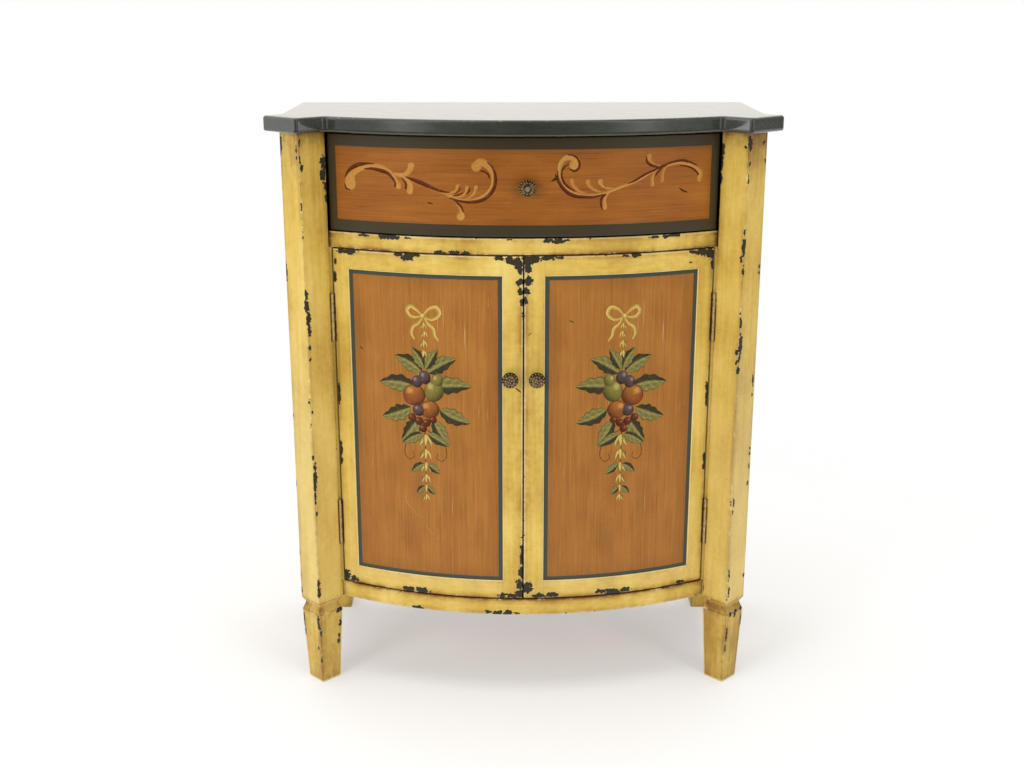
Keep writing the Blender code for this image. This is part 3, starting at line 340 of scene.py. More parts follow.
drawerFace = {
    "along": "x", "grainLength": 52, "tones": [(0.36, "824808"), (0.5, "97570f"), (0.64, "a9681a")],
    "pore": "4f2a0a", "pores": 0.42, "scratch": "d9a869", "scratches": 0.2, "fieldHalf": (281.5 * mm, 53 * mm),
    "wobble": 0.8 * mm, "glowWidth": 9 * mm, "glow": 0.3, "glowColour": "6e3c0c",
    "band": "302815", "bandLight": "463c25", "roughness": 0.26, "specular": 0.46}
doorFace = {
    "along": "z", "grainLength": 52, "tones": [(0.34, "82501a"), (0.5, "a06724"), (0.66, "b37a31")],
    "pore": "70400f", "pores": 0.32, "scratch": "e0bb86", "scratches": 0.4, "fieldHalf": (111.3 * mm, 230.3 * mm),
    "wobble": 0.7 * mm, "glowWidth": 22 * mm, "glow": 0.32, "glowColour": "7c4a18",
    "band": "353931", "bandLight": "474c40", "roughness": 0.36, "specular": 0.32}

finish = {
    "postPaint": brushedPaint("creamPaintUpright", "z"),
    "railPaint": brushedPaint("creamPaintAcross", "x"),
    "top": darkEnamel(),
    "drawerFace": bandedWood("drawerVeneer", drawerFace),
    "doorFace": bandedWood("doorVeneer", doorFace),
    "stroke": strokePaint(),
    "knob": agedBrass("castBrass", "3a2c1a", "c4ac84", 0.36),
    "hinge": agedBrass("rolledBrass", "3f2d0e", "c9ad70", 0.45, 0.4),
    "carcass": plainBoard("stainedBoard", "x", [(0.36, "7d4f2a"), (0.5, "9a6a3c"), (0.64, "b4854f")]),
    "lining": plainBoard("drawerBoard", "y", [(0.36, "b08b59"), (0.5, "c9a676"), (0.64, "dcbf92")]),
    "plywood": plainBoard("backPlywood", "z", [(0.36, "97703f"), (0.5, "b58e5c"), (0.64, "cba876")]),
    "steel": agedBrass("zincSteel", "6f6f6c", "c4c4c0", 0.3),
    "plastic": plainBoard("catchPlastic", "x", [(0.3, "4a3322"), (0.7, "67492f")], 0.4),
}
print("finishes made:", len(finish))


def newPiece(name, points, faces):
    mesh = bpy.data.meshes.new(name)
    mesh.from_pydata([tuple(p) for p in points], [], [tuple(f) for f in faces])
    mesh.update()
    piece = bpy.data.objects.new(name, mesh)
    bpy.context.scene.collection.objects.link(piece)
    return piece


def storeValues(piece, name, values, kind="FLOAT"):
    mesh = piece.data
    made = mesh.attributes.get(name) or mesh.attributes.new(name, kind, "POINT")
    field = {"FLOAT": "value", "FLOAT_VECTOR": "vector", "FLOAT_COLOR": "color"}[kind]
    made.data.foreach_set(field, np.asarray(values, np.float32).ravel())


def readPoints(piece):
    flat = np.zeros(len(piece.data.vertices) * 3, np.float32)
    piece.data.vertices.foreach_get("co", flat)
    return flat.reshape(-1, 3).astype(float)


def smoothUnder(piece, degrees):
    piece.data.shade_smooth()
    piece.data.set_sharp_from_angle(angle=math.radians(degrees))


# a modifier's tree turned into a plain mesh, with its inputs set by identifier first
def applyTree(piece, tree, values):
    modifier = piece.modifiers.new(tree.name, "NODES")
    modifier.node_group = tree
    for item in tree.interface.items_tree:
        if item.item_type == "SOCKET" and item.in_out == "INPUT" and item.name in values:
            modifier[item.identifier] = values[item.name]
    bpy.context.view_layer.update()
    shown = piece.evaluated_get(bpy.context.evaluated_depsgraph_get())
    mesh = bpy.data.meshes.new_from_object(shown, preserve_all_data_layers=True, depsgraph=bpy.context.evaluated_depsgraph_get())
    piece.modifiers.remove(modifier)
    piece.data = mesh
    return piece


def newTree(name, inputs):
    tree = bpy.data.node_groups.new(name, "GeometryNodeTree")
    tree.interface.new_socket("Geometry", in_out="INPUT", socket_type="NodeSocketGeometry")
    for label, kind in inputs:
        tree.interface.new_socket(label, in_out="INPUT", socket_type=kind)
    tree.interface.new_socket("Geometry", in_out="OUTPUT", socket_type="NodeSocketGeometry")
    return tree, tree.nodes.new("NodeGroupInput")


def endTree(tree, start, geometry):
    whole = addNode(tree, "GeometryNodeRealizeInstances", {0: geometry})
    dressed = addNode(tree, "GeometryNodeSetMaterial", {"Geometry": whole, "Material": start.outputs["Finish"]})
    addNode(tree, "NodeGroupOutput", {0: dressed})
    return tree


# flat pieces are drawn with X along the bow, Y into the cabinet from its face and Z up; this
# tree lays them on the bow
def makeBowTree():
    tree, start = newTree("layOnBow", [
        ("Radius", "NodeSocketFloat"), ("Centre Y", "NodeSocketFloat"), ("Finish", "NodeSocketMaterial")])
    place = addNode(tree, "ShaderNodeSeparateXYZ", {0: addNode(tree, "GeometryNodeInputPosition")})
    angle = addNode(tree, "ShaderNodeMath", {0: place.outputs["X"], 1: start.outputs["Radius"]}, operation="DIVIDE")
    reach = addNode(tree, "ShaderNodeMath", {0: start.outputs["Radius"], 1: place.outputs["Y"]}, operation="SUBTRACT")
    sine = addNode(tree, "ShaderNodeMath", {0: angle}, operation="SINE")
    cosine = addNode(tree, "ShaderNodeMath", {0: angle}, operation="COSINE")
    across = addNode(tree, "ShaderNodeMath", {0: reach, 1: sine}, operation="MULTIPLY")
    depth = addNode(tree, "ShaderNodeMath", {0: reach, 1: cosine}, operation="MULTIPLY")
    depth = addNode(tree, "ShaderNodeMath", {0: start.outputs["Centre Y"], 1: depth}, operation="SUBTRACT")
    bent = addNode(tree, "ShaderNodeCombineXYZ", {0: across, 1: depth, 2: place.outputs["Z"]})
    moved = addNode(tree, "GeometryNodeSetPosition", {"Geometry": start.outputs["Geometry"], "Position": bent})
    return endTree(tree, start, moved)


layOnBow = makeBowTree()


def layOut(piece, material):
    applyTree(piece, layOnBow, {"Radius": bow["radius"], "Centre Y": bow["centreY"], "Finish": material})
    return piece


# places from low to high, close together in the eased ends
def easedSteps(low, high, step, soft):
    count = max(1, round((high - low - 2 * soft) / step))
    inner = np.linspace(low + soft, high - soft, count + 1)
    ease = soft * np.array([0, 0.42])
    return np.concatenate([low + ease, inner, high - ease[::-1]])


def shellFaces(sizes):
    faces = []
    for axis in range(3):
        a, b = [(1, 2), (2, 0), (0, 1)][axis]
        ia, ib = np.meshgrid(np.arange(sizes[a] - 1), np.arange(sizes[b] - 1), indexing="ij")
        for end in (0, sizes[axis] - 1):
            corners = []
            for da, db in ((0, 0), (1, 0), (1, 1), (0, 1)):
                index = [0, 0, 0]
                index[axis] = np.full(ia.size, end)
                index[a] = ia.ravel() + da
                index[b] = ib.ravel() + db
                corners.append((index[0] * sizes[1] + index[1]) * sizes[2] + index[2])
            quads = np.stack(corners, 1)
            faces.append(quads if end else quads[:, ::-1])
    return np.concatenate(faces)


# A board with eased edges, in a fine grid. An end in square stays square, where it is glued to the
# next piece, and softAt can ease less in places. The arris attribute is 1 on an edge, 0 at reach.
def easedBoard(name, low, high, soft, step, square=(), softAt=None, reach=10 * mm):
    low, high = np.array(low, float), np.array(high, float)
    lines = [easedSteps(low[i], high[i], step[i], soft) for i in range(3)]
    faces = shellFaces([len(line) for line in lines])
    used, faces = np.unique(faces, return_inverse=True)
    faces = faces.reshape(-1, 4)
    ny, nz = len(lines[1]), len(lines[2])
    points = np.stack([lines[0][used // (ny * nz)], lines[1][used // nz % ny], lines[2][used % nz]], 1)
    toLow, toHigh = points - low, high - points
    for axis, end in square:
        (toLow if end == 0 else toHigh)[:, axis] = 1
    gaps = np.sort(np.concatenate([toLow, toHigh], 1), 1)[:, 1]
    radius = softAt(points) if softAt else np.full(len(points), soft)
    innerLow = np.repeat(low[None], len(points), 0) + radius[:, None]
    innerHigh = np.repeat(high[None], len(points), 0) - radius[:, None]
    for axis, end in square:
        (innerLow if end == 0 else innerHigh)[:, axis] = low[axis] if end == 0 else high[axis]
    inner = np.clip(points, innerLow, innerHigh)
    arm = points - inner
    length = np.linalg.norm(arm, axis=1)
    eased = inner + arm * np.minimum(1, radius / np.maximum(length, 1e-9))[:, None]
    eased = np.where((length > 0)[:, None], eased, points)
    piece = newPiece(name, eased, faces)
    storeValues(piece, "arris", np.clip(1 - gaps / reach, 0, 1))
    storeValues(piece, "flat", points - (low + high) / 2, "FLOAT_VECTOR")
    return piece


# how strongly the placed flakes reach each point: 1 in the middle of one, 0 at its rim
def flakeField(across, up, placed, wide=1.3):
    field = np.zeros(len(across))
    for x, z, rx, rz in placed:
        away = ((across / mm - x) / (rx * wide + 0.4)) ** 2 + ((up / mm - z) / (rz * 1.3)) ** 2
        field = np.maximum(field, 1.0 - away)
    return np.clip(field, 0, 1)


# a closed section in plan, with eased corners; also how far each point is from the nearest corner
def easedSection(corners, soft, step, arcSteps=5):
    count = len(corners)
    corners = [Vector(c) for c in corners]
    arcs = []
    for i, corner in enumerate(corners):
        before = (corners[i - 1] - corner).normalized()
        after = (corners[(i + 1) % count] - corner).normalized()
        half = before.angle(after) / 2
        radius = soft[i] if isinstance(soft, list) else soft
        if radius == 0:
            arcs.append([corner])
            continue
        start = corner + before * radius / math.tan(half)
        end = corner + after * radius / math.tan(half)
        centre = corner + (before + after).normalized() * radius / math.sin(half)
        armA, armB = start - centre, end - centre
        turn = armA.angle_signed(armB)
        arcs.append([centre + Matrix.Rotation(-turn * k / (arcSteps - 1), 2) @ armA for k in range(arcSteps)])
    points = []
    for i in range(count):
        points += arcs[i]
        a, b = arcs[i][-1], arcs[(i + 1) % count][0]
        parts = max(1, round((b - a).length / step))
        points += [a.lerp(b, k / parts) for k in range(1, parts)]
    points = np.array([tuple(p) for p in points])
    gaps = np.min([np.linalg.norm(points - np.array(c), axis=1) for c in corners], 0)
    return points, gaps


# rings of one section stacked up, closed with a face at each end
def stackRings(name, rings, heights):
    count = len(rings[0])
    points = np.concatenate([np.column_stack([ring, np.full(count, z)]) for ring, z in zip(rings, heights)])
    i = np.arange(count)
    faces = []
    for k in range(len(rings) - 1):
        a, b = k * count, (k + 1) * count
        faces.append(np.stack([a + i, a + (i + 1) % count, b + (i + 1) % count, b + i], 1))
    piece = newPiece(name, points, [*np.concatenate(faces).tolist(),
                                    list(range(count))[::-1], [len(points) - count + k for k in range(count)]])
    return piece


def stand(piece, body, *nodes):
    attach(piece, body)
    if nodes:
        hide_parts(*nodes)
    return piece


# the two hinges of each door; a painted shadow darkens what stands beside them
hingeAt = {"heights": {"upper": 592 * mm, "lower": 265.5 * mm}}

# Front legs: a square stock set cornerwise, with a turned-looking neck cut over a tapered foot
frontLeg = {
    "x": 318.5 * mm, "y": -96.5 * mm, "reach": 32.88 * mm, "corner": 1.8 * mm, "height": 866.7 * mm,
    "inset": [(0, 8.5), (1.8, 7.6), (118, 0.6), (120.2, 1.7), (129.6, 6.5), (131.5, 6.5), (139.1, 0), (866.7, 0)],
    "edges": [0, 119.4, 139.1], "step": 1.9 * mm}
legFlakes = {
    -1: [(-318, 853, 2, 6), (-318, 829, 2, 6), (-316, 817, 3, 5), (-323, 843, 2, 6), (-323, 831, 2, 3),
         (-349, 849, 3, 11), (-350, 836, 2, 4), (-289, 822, 6, 10), (-290, 806, 5, 12), (-287, 788, 3, 9),
         (-287, 771, 2, 8), (-350, 674, 2, 4), (-350, 662, 3, 8), (-350, 651, 2, 5), (-317, 632, 3, 6),
         (-318, 616, 5, 9), (-316, 598, 5, 12), (-315, 580, 3, 10), (-316, 554, 3, 6), (-316, 535, 2, 4),
         (-320, 469, 2, 3), (-316, 454, 2, 5), (-318, 383, 2, 4), (-316, 366, 3, 8), (-316, 350, 4, 12),
         (-317, 334, 3, 8), (-317, 317, 2, 12), (-316, 290, 2, 5), (-318, 172, 3, 8), (-318, 158, 4, 12),
         (-351, 216, 2, 9), (-351, 176, 2, 9), (-350, 152, 2, 6), (-291, 118, 7, 5), (-291, 96, 3, 8),
         (-293, 73, 2, 5), (-294, 62, 3, 6), (-321, 106, 4, 13), (-318, 88, 2, 6), (-324, 60, 2, 4),
         (-319, 40, 2, 5), (-348, 102, 2, 14), (-347, 80, 2, 8), (-350, 440, 1, 5), (-350, 330, 1, 6)],
    1: [(287, 838, 4, 12), (286, 820, 3, 10), (287, 799, 2, 6), (321, 852, 5, 12), (315, 846, 2, 3),
        (322, 823, 2, 5), (321, 799, 2, 8), (345, 851, 2, 4), (349, 825, 2, 4), (319, 724, 2, 6),
        (319, 704, 4, 14), (348, 670, 2, 4), (319, 669, 3, 8), (316, 685, 2, 6), (348, 661, 2, 3),
        (320, 589, 3, 9), (321, 559, 5, 18), (316, 545, 3, 5), (316, 531, 2, 4), (320, 537, 2, 6),
        (319, 519, 4, 7), (347, 496, 2, 10), (347, 473, 2, 4), (348, 387, 2, 4), (348, 379, 2, 3),
        (348, 358, 2, 5), (347, 331, 2, 4), (323, 308, 2, 7), (322, 292, 2, 5), (349, 177, 2, 6),
        (286, 153, 2, 8), (347, 120, 4, 3), (336, 116, 4, 7), (327, 118, 4, 4), (322, 84, 3, 14),
        (321, 190, 2, 12), (322, 160, 2, 10), (348, 100, 2, 10), (321, 60, 2, 8)]}


# towards the floor the paint is painted a little paler, a painted light from the floor
def paintedFloorLight(heights, start, fade, most):
    return most * np.clip((start - heights) / fade, 0, 1)


def makeFrontLegs():
    leg = frontLeg
    levels = np.array(leg["inset"]) * mm
    heights = set(np.arange(0, leg["height"], leg["step"]))
    for z, _ in levels:
        heights |= {z + d * mm for d in (-0.9, -0.45, 0, 0.45, 0.9)}
    heights = np.array(sorted(h for h in heights if 0 <= h <= leg["height"]))
    heights = heights[np.concatenate([[True], np.diff(heights) > 0.2 * mm])]
    heights[-1] = leg["height"]
    # each inset is averaged over a millimetre, which eases the cuts of the neck
    inset = np.mean([np.interp(heights + d * mm, levels[:, 0], levels[:, 1]) for d in (-0.6, -0.2, 0.2, 0.6)], 0)
    reach = leg["reach"]
    section, gaps = easedSection([(reach, 0), (0, reach), (-reach, 0), (0, -reach)], leg["corner"], 1.9 * mm)
    for word, side in (("left", -1), ("right", 1)):
        centre = np.array([side * leg["x"], leg["y"]])
        rings = [section * (reach - i) / reach + centre for i in inset]
        piece = stackRings(f"frontLeg_{word}", rings, heights)
        points = readPoints(piece)
        up = np.min([np.abs(points[:, 2] - z * mm) for z in leg["edges"]], 0)
        near = np.minimum(np.tile(gaps, len(heights)), up)
        storeValues(piece, "arris", np.clip(1 - near / (9 * mm), 0, 1))
        front = points[:, 1] < leg["y"] + 4 * mm
        storeValues(piece, "chip", flakeField(points[:, 0], points[:, 2], legFlakes[side], 0.84) * front)
        # a painted shadow of the top runs down the leg, further on the outer faces
        deep = np.where(side * points[:, 0] > leg["x"], 95 * mm, 34 * mm)
        under = np.clip(1 - (leg["height"] - points[:, 2]) / deep, 0, 1) ** 1.5
        # beside each hinge the leg's inner corner is painted near black, a painted shadow of the hinge gap
        hinged = np.min([np.abs(points[:, 2] - z) for z in hingeAt["heights"].values()], 0) < 37 * mm
        under = np.maximum(under, 1.8 * (hinged & (side * points[:, 0] < 287.2 * mm)))
        neck = np.exp(-((points[:, 2] - 128 * mm) / (7 * mm)) ** 2)
        foot = 0.36 * np.clip((122 * mm - points[:, 2]) / (8 * mm), 0, 1) + 0.25 * np.exp(-points[:, 2] / (12 * mm))
        # the foot's bottom edge and outer corners are painted pale, partly rubbed wear and partly a painted highlight
        outer = np.abs(points[:, 0] - centre[0]) > 0.72 * (reach - np.repeat(inset, len(section)))
        wornAndLit = (points[:, 2] < 118 * mm) & ((points[:, 2] < 3 * mm) | outer & (np.tile(gaps, len(heights)) < 2.6 * mm))
        # the paint is painted paler towards the floor, most on the outer faces, a painted light from the floor and the
        # side
        pallor = np.where(side * points[:, 0] > leg["x"], 0.2, 0.07) * (points[:, 2] > 122 * mm)
        shade = np.maximum(np.maximum(under, neck), foot) - paintedFloorLight(points[:, 2], 650 * mm, 300 * mm, pallor)
        storeValues(piece, "shade", np.where(wornAndLit, -0.65, shade))
        piece.data.materials.append(finish["postPaint"])
        smoothUnder(piece, 40)
        stand(piece, "cabinet", f"front_leg_{word}")


makeFrontLegs()
print("front legs made")


# a straight upright, eased at both ends; below footTop it keeps the foot's own section
def makeUpright(name, corners, soft, low, high, node, foot=None, footTop=0.0):
    section, gaps = easedSection(corners, soft, 6 * mm)
    along = np.roll(section, -1, 0) - np.roll(section, 1, 0)
    out = np.column_stack([along[:, 1], -along[:, 0]])
    out /= np.linalg.norm(out, axis=1)[:, None]
    heights = easedSteps(low, high, 5 * mm, 1 * mm)
    sections = [section] * len(heights)
    if foot:
        below = heights[heights < footTop - 1 * mm]
        above = heights[heights > footTop + 1 * mm]
        heights = np.concatenate([below, [footTop, footTop], above])
        sections = [easedSection(foot, soft, 6 * mm)[0]] * (len(below) + 1) + [section] * (len(above) + 1)
    into = np.minimum(np.minimum(heights - low, high - heights), 1 * mm)
    inset = 1 * mm - np.sqrt(np.maximum(0, (1 * mm) ** 2 - (1 * mm - into) ** 2))
    piece = stackRings(name, [ring - out * i * 0.7 for ring, i in zip(sections, inset)], heights)
    points = readPoints(piece)
    up = np.minimum(points[:, 2] - low, high - points[:, 2])
    near = np.minimum(np.tile(gaps, len(heights)), up)
    rebate = (points[:, 1] > 188 * mm) & (np.abs(points[:, 0]) < 316 * mm)
    storeValues(piece, "arris", np.clip(1 - near / (9 * mm), 0, 1) * np.where(rebate, 0.5, 1.0))
    # a painted shadow under the top
    storeValues(piece, "shade", np.clip(1 - (high - points[:, 2]) / (30 * mm), 0, 1) ** 2 * 0.6)
    piece.data.materials.append(finish["postPaint"])
    smoothUnder(piece, 40)
    return stand(piece, "cabinet", node)


def mirrorCorners(corners, side):
    corners = [(side * x * mm, y * mm) for x, y in corners]
    return corners if side > 0 else corners[::-1]


# Rear legs, rebated for the back, and the side panels let in between the legs, as on the right side
rearLeg = {
    "foot": [(306.0, 153.5), (346.0, 153.5), (346.0, 193.5), (314.3, 193.5), (306.0, 193.5), (306.0, 189.2)],
    "leg": [(306.0, 153.5), (346.0, 153.5), (346.0, 193.5), (314.3, 193.5), (314.3, 189.2), (306.0, 189.2)],
    "soft": [1.2, 1.2, 1.2, 0, 0, 0], "footTop": 137.5 * mm, "high": 866.7 * mm}
sidePanel = {
    "section": [(321.1, -65.8), (335.56, -80.26), (344.43, 153.2), (329.42, 153.2)],
    "low": 137.8 * mm, "high": 866.7 * mm}


def makeUprights():
    leg = rearLeg
    for word, side in (("left", -1), ("right", 1)):
        soft = [r * mm for r in (leg["soft"] if side > 0 else leg["soft"][::-1])]
        makeUpright(f"rearLeg_{word}", mirrorCorners(leg["leg"], side), soft, 0, leg["high"], f"rear_leg_{word}",
                    mirrorCorners(leg["foot"], side), leg["footTop"])
        makeUpright(f"sidePanel_{word}", mirrorCorners(sidePanel["section"], side), 0.5 * mm,
                    sidePanel["low"], sidePanel["high"], f"side_panel_{word}")


makeUprights()
print("rear legs and sides made")

# Bowed rails under the drawer and under the doors
rails = {
    "drawer": {"node": "drawer_rail", "low": 698.0, "high": 721.5, "depth": 50, "flakes": [
        (-238, 719, 12, 2), (-207, 719, 8, 4), (-196, 719, 8, 4), (-187, 719, 6, 3), (-170, 719, 6, 2),
        (-20, 720, 4, 1.5), (33, 719, 7, 3), (49, 718, 10, 4), (62, 719, 4, 2), (193, 719, 9, 2),
        (210, 719, 6, 3), (225, 720, 10, 3), (-121, 700, 10, 3), (-99, 700, 9, 3), (-83, 700, 7, 3)]},
    "apron": {"node": "apron", "low": 137.8, "high": 163.5, "depth": 22, "flakes": [
        (-165, 140, 10, 3), (-54, 142, 5, 3), (-38, 141, 9, 4), (-23, 142, 6, 5), (-8, 140, 6, 2)]}}


def makeRails():
    for word, rail in rails.items():
        half = bow["radius"] * math.asin(286.2 * mm / bow["radius"])
        piece = easedBoard(f"{word}Rail", (-half, 0, rail["low"] * mm), (half, rail["depth"] * mm, rail["high"] * mm),
                           1.0 * mm, (2.2 * mm, 4 * mm, 1.9 * mm), square=((0, 0), (0, 1)))
        points = readPoints(piece)
        toPost = half - np.abs(points[:, 0])
        storeValues(piece, "chip", flakeField(points[:, 0], points[:, 2], rail["flakes"]) * (points[:, 1] < 5 * mm))
        # the top face behind the front is painted near black, a painted shade in the gap over the rail
        hidden = (points[:, 1] > 1.1 * mm) & (points[:, 2] > (rail["high"] - 1.0) * mm)
        # the edge by the doors' gap is painted brown, a painted shade; the other edge is painted pale, partly rubbed
        # wear and partly a painted highlight
        paleEdge, browned = (rail["high"], rail["low"]) if word == "drawer" else (rail["low"], rail["high"])
        pale = (points[:, 1] < 1.0 * mm) & (np.abs(points[:, 2] - paleEdge * mm) < 1.2 * mm)
        # brown glaze towards the posts; the drawer rail a little darker overall, and the apron a little paler, a
        # painted light from the floor
        brown = np.maximum(np.exp(-toPost / (12 * mm)) * 0.8 + (0.16 if word == "drawer" else -0.1),
                           np.exp(-np.abs(points[:, 2] - browned * mm) / (3 * mm)))
        storeValues(piece, "shade", np.where(pale, -0.35, np.maximum(brown, hidden * 2.0)))
        layOut(piece, finish["railPaint"])
        smoothUnder(piece, 40)
        stand(piece, "cabinet", rail["node"])


makeRails()
print("rails made")

# Top: one shaped board with an ear over each post, hollows beside the ears and a bowed front
top = {
    "low": 867 * mm, "high": 889 * mm, "lowRound": 3.2, "highRound": 4.5,
    "crownY": -194.5 * mm, "backY": 194.5 * mm, "postX": 318.5 * mm, "postY": -96.5 * mm,
    "earReach": 56.92 * mm, "earFace": 50.8 * mm, "waist": (353.6 * mm, -52.9 * mm), "backHalf": 363.0 * mm,
    "earCorner": 5.2 * mm, "notch": 9.0 * mm, "backCorner": 5.0 * mm, "step": 2.4 * mm, "clear": 7.6 * mm}


def topOutline():
    t = top
    ear = t["earReach"]
    face = t["earFace"] / math.sqrt(2)
    notch = Vector((t["postX"] - face, t["postY"] - ear + face))
    tip = Vector((t["postX"], t["postY"] - ear))
    side = Vector((t["postX"] + ear, t["postY"]))
    waist = Vector(t["waist"])
    back = Vector((t["backHalf"], t["backY"]))
    sag = notch.y - t["crownY"]
    radius = (notch.x ** 2 + sag ** 2) / (2 * sag)
    centreY = t["crownY"] + radius
    end = math.asin(notch.x / radius)
    steps = round(end * radius / t["step"])
    front = [Vector((radius * math.sin(end * i / steps), centreY - radius * math.cos(end * i / steps)))
             for i in range(steps)]
    front = [p for p in front if (p - notch).length > t["clear"]]
    # the hollow from the waist out to the ear leaves the waist in line with the side
    start = (waist - back).normalized()
    chord = side - waist
    half = start.angle_signed(chord)
    hollowRadius = chord.length / (2 * math.sin(abs(half)))
    turn = 1 if half < 0 else -1
    centre = waist + Vector((-start.y, start.x)) * hollowRadius * turn
    arm = waist - centre
    hollow = [centre + Matrix.Rotation(-2 * half * i / 24, 2) @ arm for i in range(24)][::-1]
    hollow = [p for p in hollow if (p - side).length > t["clear"]]
    right = [("arc", p) for p in front]
    right += [("corner", notch, t["notch"]), ("corner", tip, t["earCorner"]), ("corner", side, t["earCorner"])]
    right += [("arc", p) for p in hollow]
    right += [("corner", back, t["backCorner"])]
    left = [(kind, Vector((-p.x, p.y)), *rest) for kind, p, *rest in right[1:][::-1]]
    return right + left


# the outline with its corners rounded and its straight runs divided
def walkOutline(outline, step):
    count = len(outline)
    runs = []
    for i, (kind, point, *rest) in enumerate(outline):
        if kind == "arc":
            runs.append([point])
            continue
        radius = rest[0]
        before = (outline[i - 1][1] - point).normalized()
        after = (outline[(i + 1) % count][1] - point).normalized()
        half = before.angle(after) / 2
        start = point + before * radius / math.tan(half)
        end = point + after * radius / math.tan(half)
        centre = point + (before + after).normalized() * radius / math.sin(half)
        armA, armB = start - centre, end - centre
        angle = armA.angle_signed(armB)
        runs.append([centre + Matrix.Rotation(-angle * k / 8, 2) @ armA for k in range(9)])
    points = []
    for i, run in enumerate(runs):
        points += run
        a, b = run[-1], runs[(i + 1) % count][0]
        parts = round((b - a).length / step)
        points += [a.lerp(b, k / parts) for k in range(1, parts)]
    return np.array([tuple(p) for p in points])


# both flat faces of a stack of rings laid out afresh over a net of points, so that values stored on
# the points fade away from the rim; gives how far inside each new point is
def fillCaps(piece, count, rows):
    points = readPoints(piece)
    faces = [tuple(p.vertices) for p in piece.data.polygons if len(p.vertices) == 4]
    inside = []
    for start, up in ((0, False), ((rows - 1) * count, True)):
        rim = points[start:start + count]
        net = np.stack(np.meshgrid(*[np.arange(rim[:, k].min(), rim[:, k].max(), 7 * mm) for k in (0, 1)]), 2).reshape(-1, 2)
        away = np.min([np.hypot(net[:, 0] - x, net[:, 1] - y) for x, y, _ in rim], 0)
        net, away = net[away > 4 * mm], away[away > 4 * mm]
        flat, _, cells, origins, _, _ = delaunay_2d_cdt(
            [Vector(p) for p in (*rim[:, :2], *net)], [(k, (k + 1) % count) for k in range(count)], [], 1, 1e-7)
        names = {}
        for new in sorted({v for cell in cells for v in cell}):
            source = min(origins[new])
            if source < count:
                names[new] = start + source
                continue
            names[new] = len(points)
            points = np.vstack([points, (*flat[new], rim[0, 2])])
            inside.append(away[source - count])
        for cell in cells:
            a, b, c = (flat[v] for v in cell)
            corners = [names[v] for v in cell]
            faces.append(corners if ((b - a).cross(c - a) > 0) == up else corners[::-1])
    piece.data.clear_geometry()
    piece.data.from_pydata([tuple(p) for p in points], [], faces)
    piece.data.update()
    return np.array(inside)


def makeTop():
    t = top
    outline = walkOutline(topOutline(), t["step"])
    along = np.roll(outline, -1, 0) - np.roll(outline, 1, 0)
    out = np.column_stack([along[:, 1], -along[:, 0]])
    out /= np.linalg.norm(out, axis=1)[:, None]
    levels = [(t["low"], 4.4)]
    for k in range(6):
        a = math.pi / 2 * k / 5
        levels.append((t["low"] + t["lowRound"] * mm * (1 - math.cos(a)), t["lowRound"] * (1 - math.sin(a))))
    straight = (t["low"] + t["lowRound"] * mm, t["high"] - t["highRound"] * mm)
    levels += [(straight[0] + (straight[1] - straight[0]) * k / 7, 0) for k in range(1, 7)]
    for k in range(9):
        a = math.pi / 2 * k / 8
        levels.append((straight[1] + t["highRound"] * mm * math.sin(a), t["highRound"] * (1 - math.cos(a))))
    piece = stackRings("topBoard", [outline - out * inset * mm for _, inset in levels], [z for z, _ in levels])
    inside = fillCaps(piece, len(outline), len(levels))
    points = readPoints(piece)
    height = np.repeat([z for z, _ in levels], len(outline))
    upper = 1 - np.abs(height - (t["high"] - 0.9 * mm)) / (9 * mm)
    lower = 1 - np.abs(height - (t["low"] + 0.5 * mm)) / (9 * mm)
    upper = np.concatenate([upper, 0.9 - inside / (9 * mm)])
    lower = np.concatenate([lower, 0.9 - inside / (9 * mm)])
    storeValues(piece, "arris", np.clip(np.maximum(upper, lower - 0.3), 0, 1))
    piece.data.materials.append(finish["top"])
    smoothUnder(piece, 35)
    return stand(piece, "cabinet", "top")


makeTop()
print("top made")

# Drawer front, its upper edge low enough for the gap under the top to show as a dark line
drawer = {
    "half": 295.96 * mm, "low": 723.7 * mm, "high": 863.2 * mm, "thick": 18 * mm, "arris": 1.2 * mm,
    "knob": (5 * mm, 794.25 * mm)}


def makeDrawerFront():
    d = drawer
    piece = easedBoard("drawerFront", (-d["half"], 0, d["low"]), (d["half"], d["thick"], d["high"]),
                       d["arris"], (2.5 * mm, 6 * mm, 3 * mm))
    points = readPoints(piece)
    # a painted shadow of the knob darkens the wood round it
    away = np.hypot((points[:, 0] - d["knob"][0]) / (20 * mm), (points[:, 2] - d["knob"][1]) / (13 * mm))
    storeValues(piece, "knobShadow", 0.45 * np.exp(-away ** 2))
    layOut(piece, finish["drawerFace"])
    smoothUnder(piece, 40)
    return stand(piece, "drawer", "drawer_front")


makeDrawerFront()
print("drawer front made")

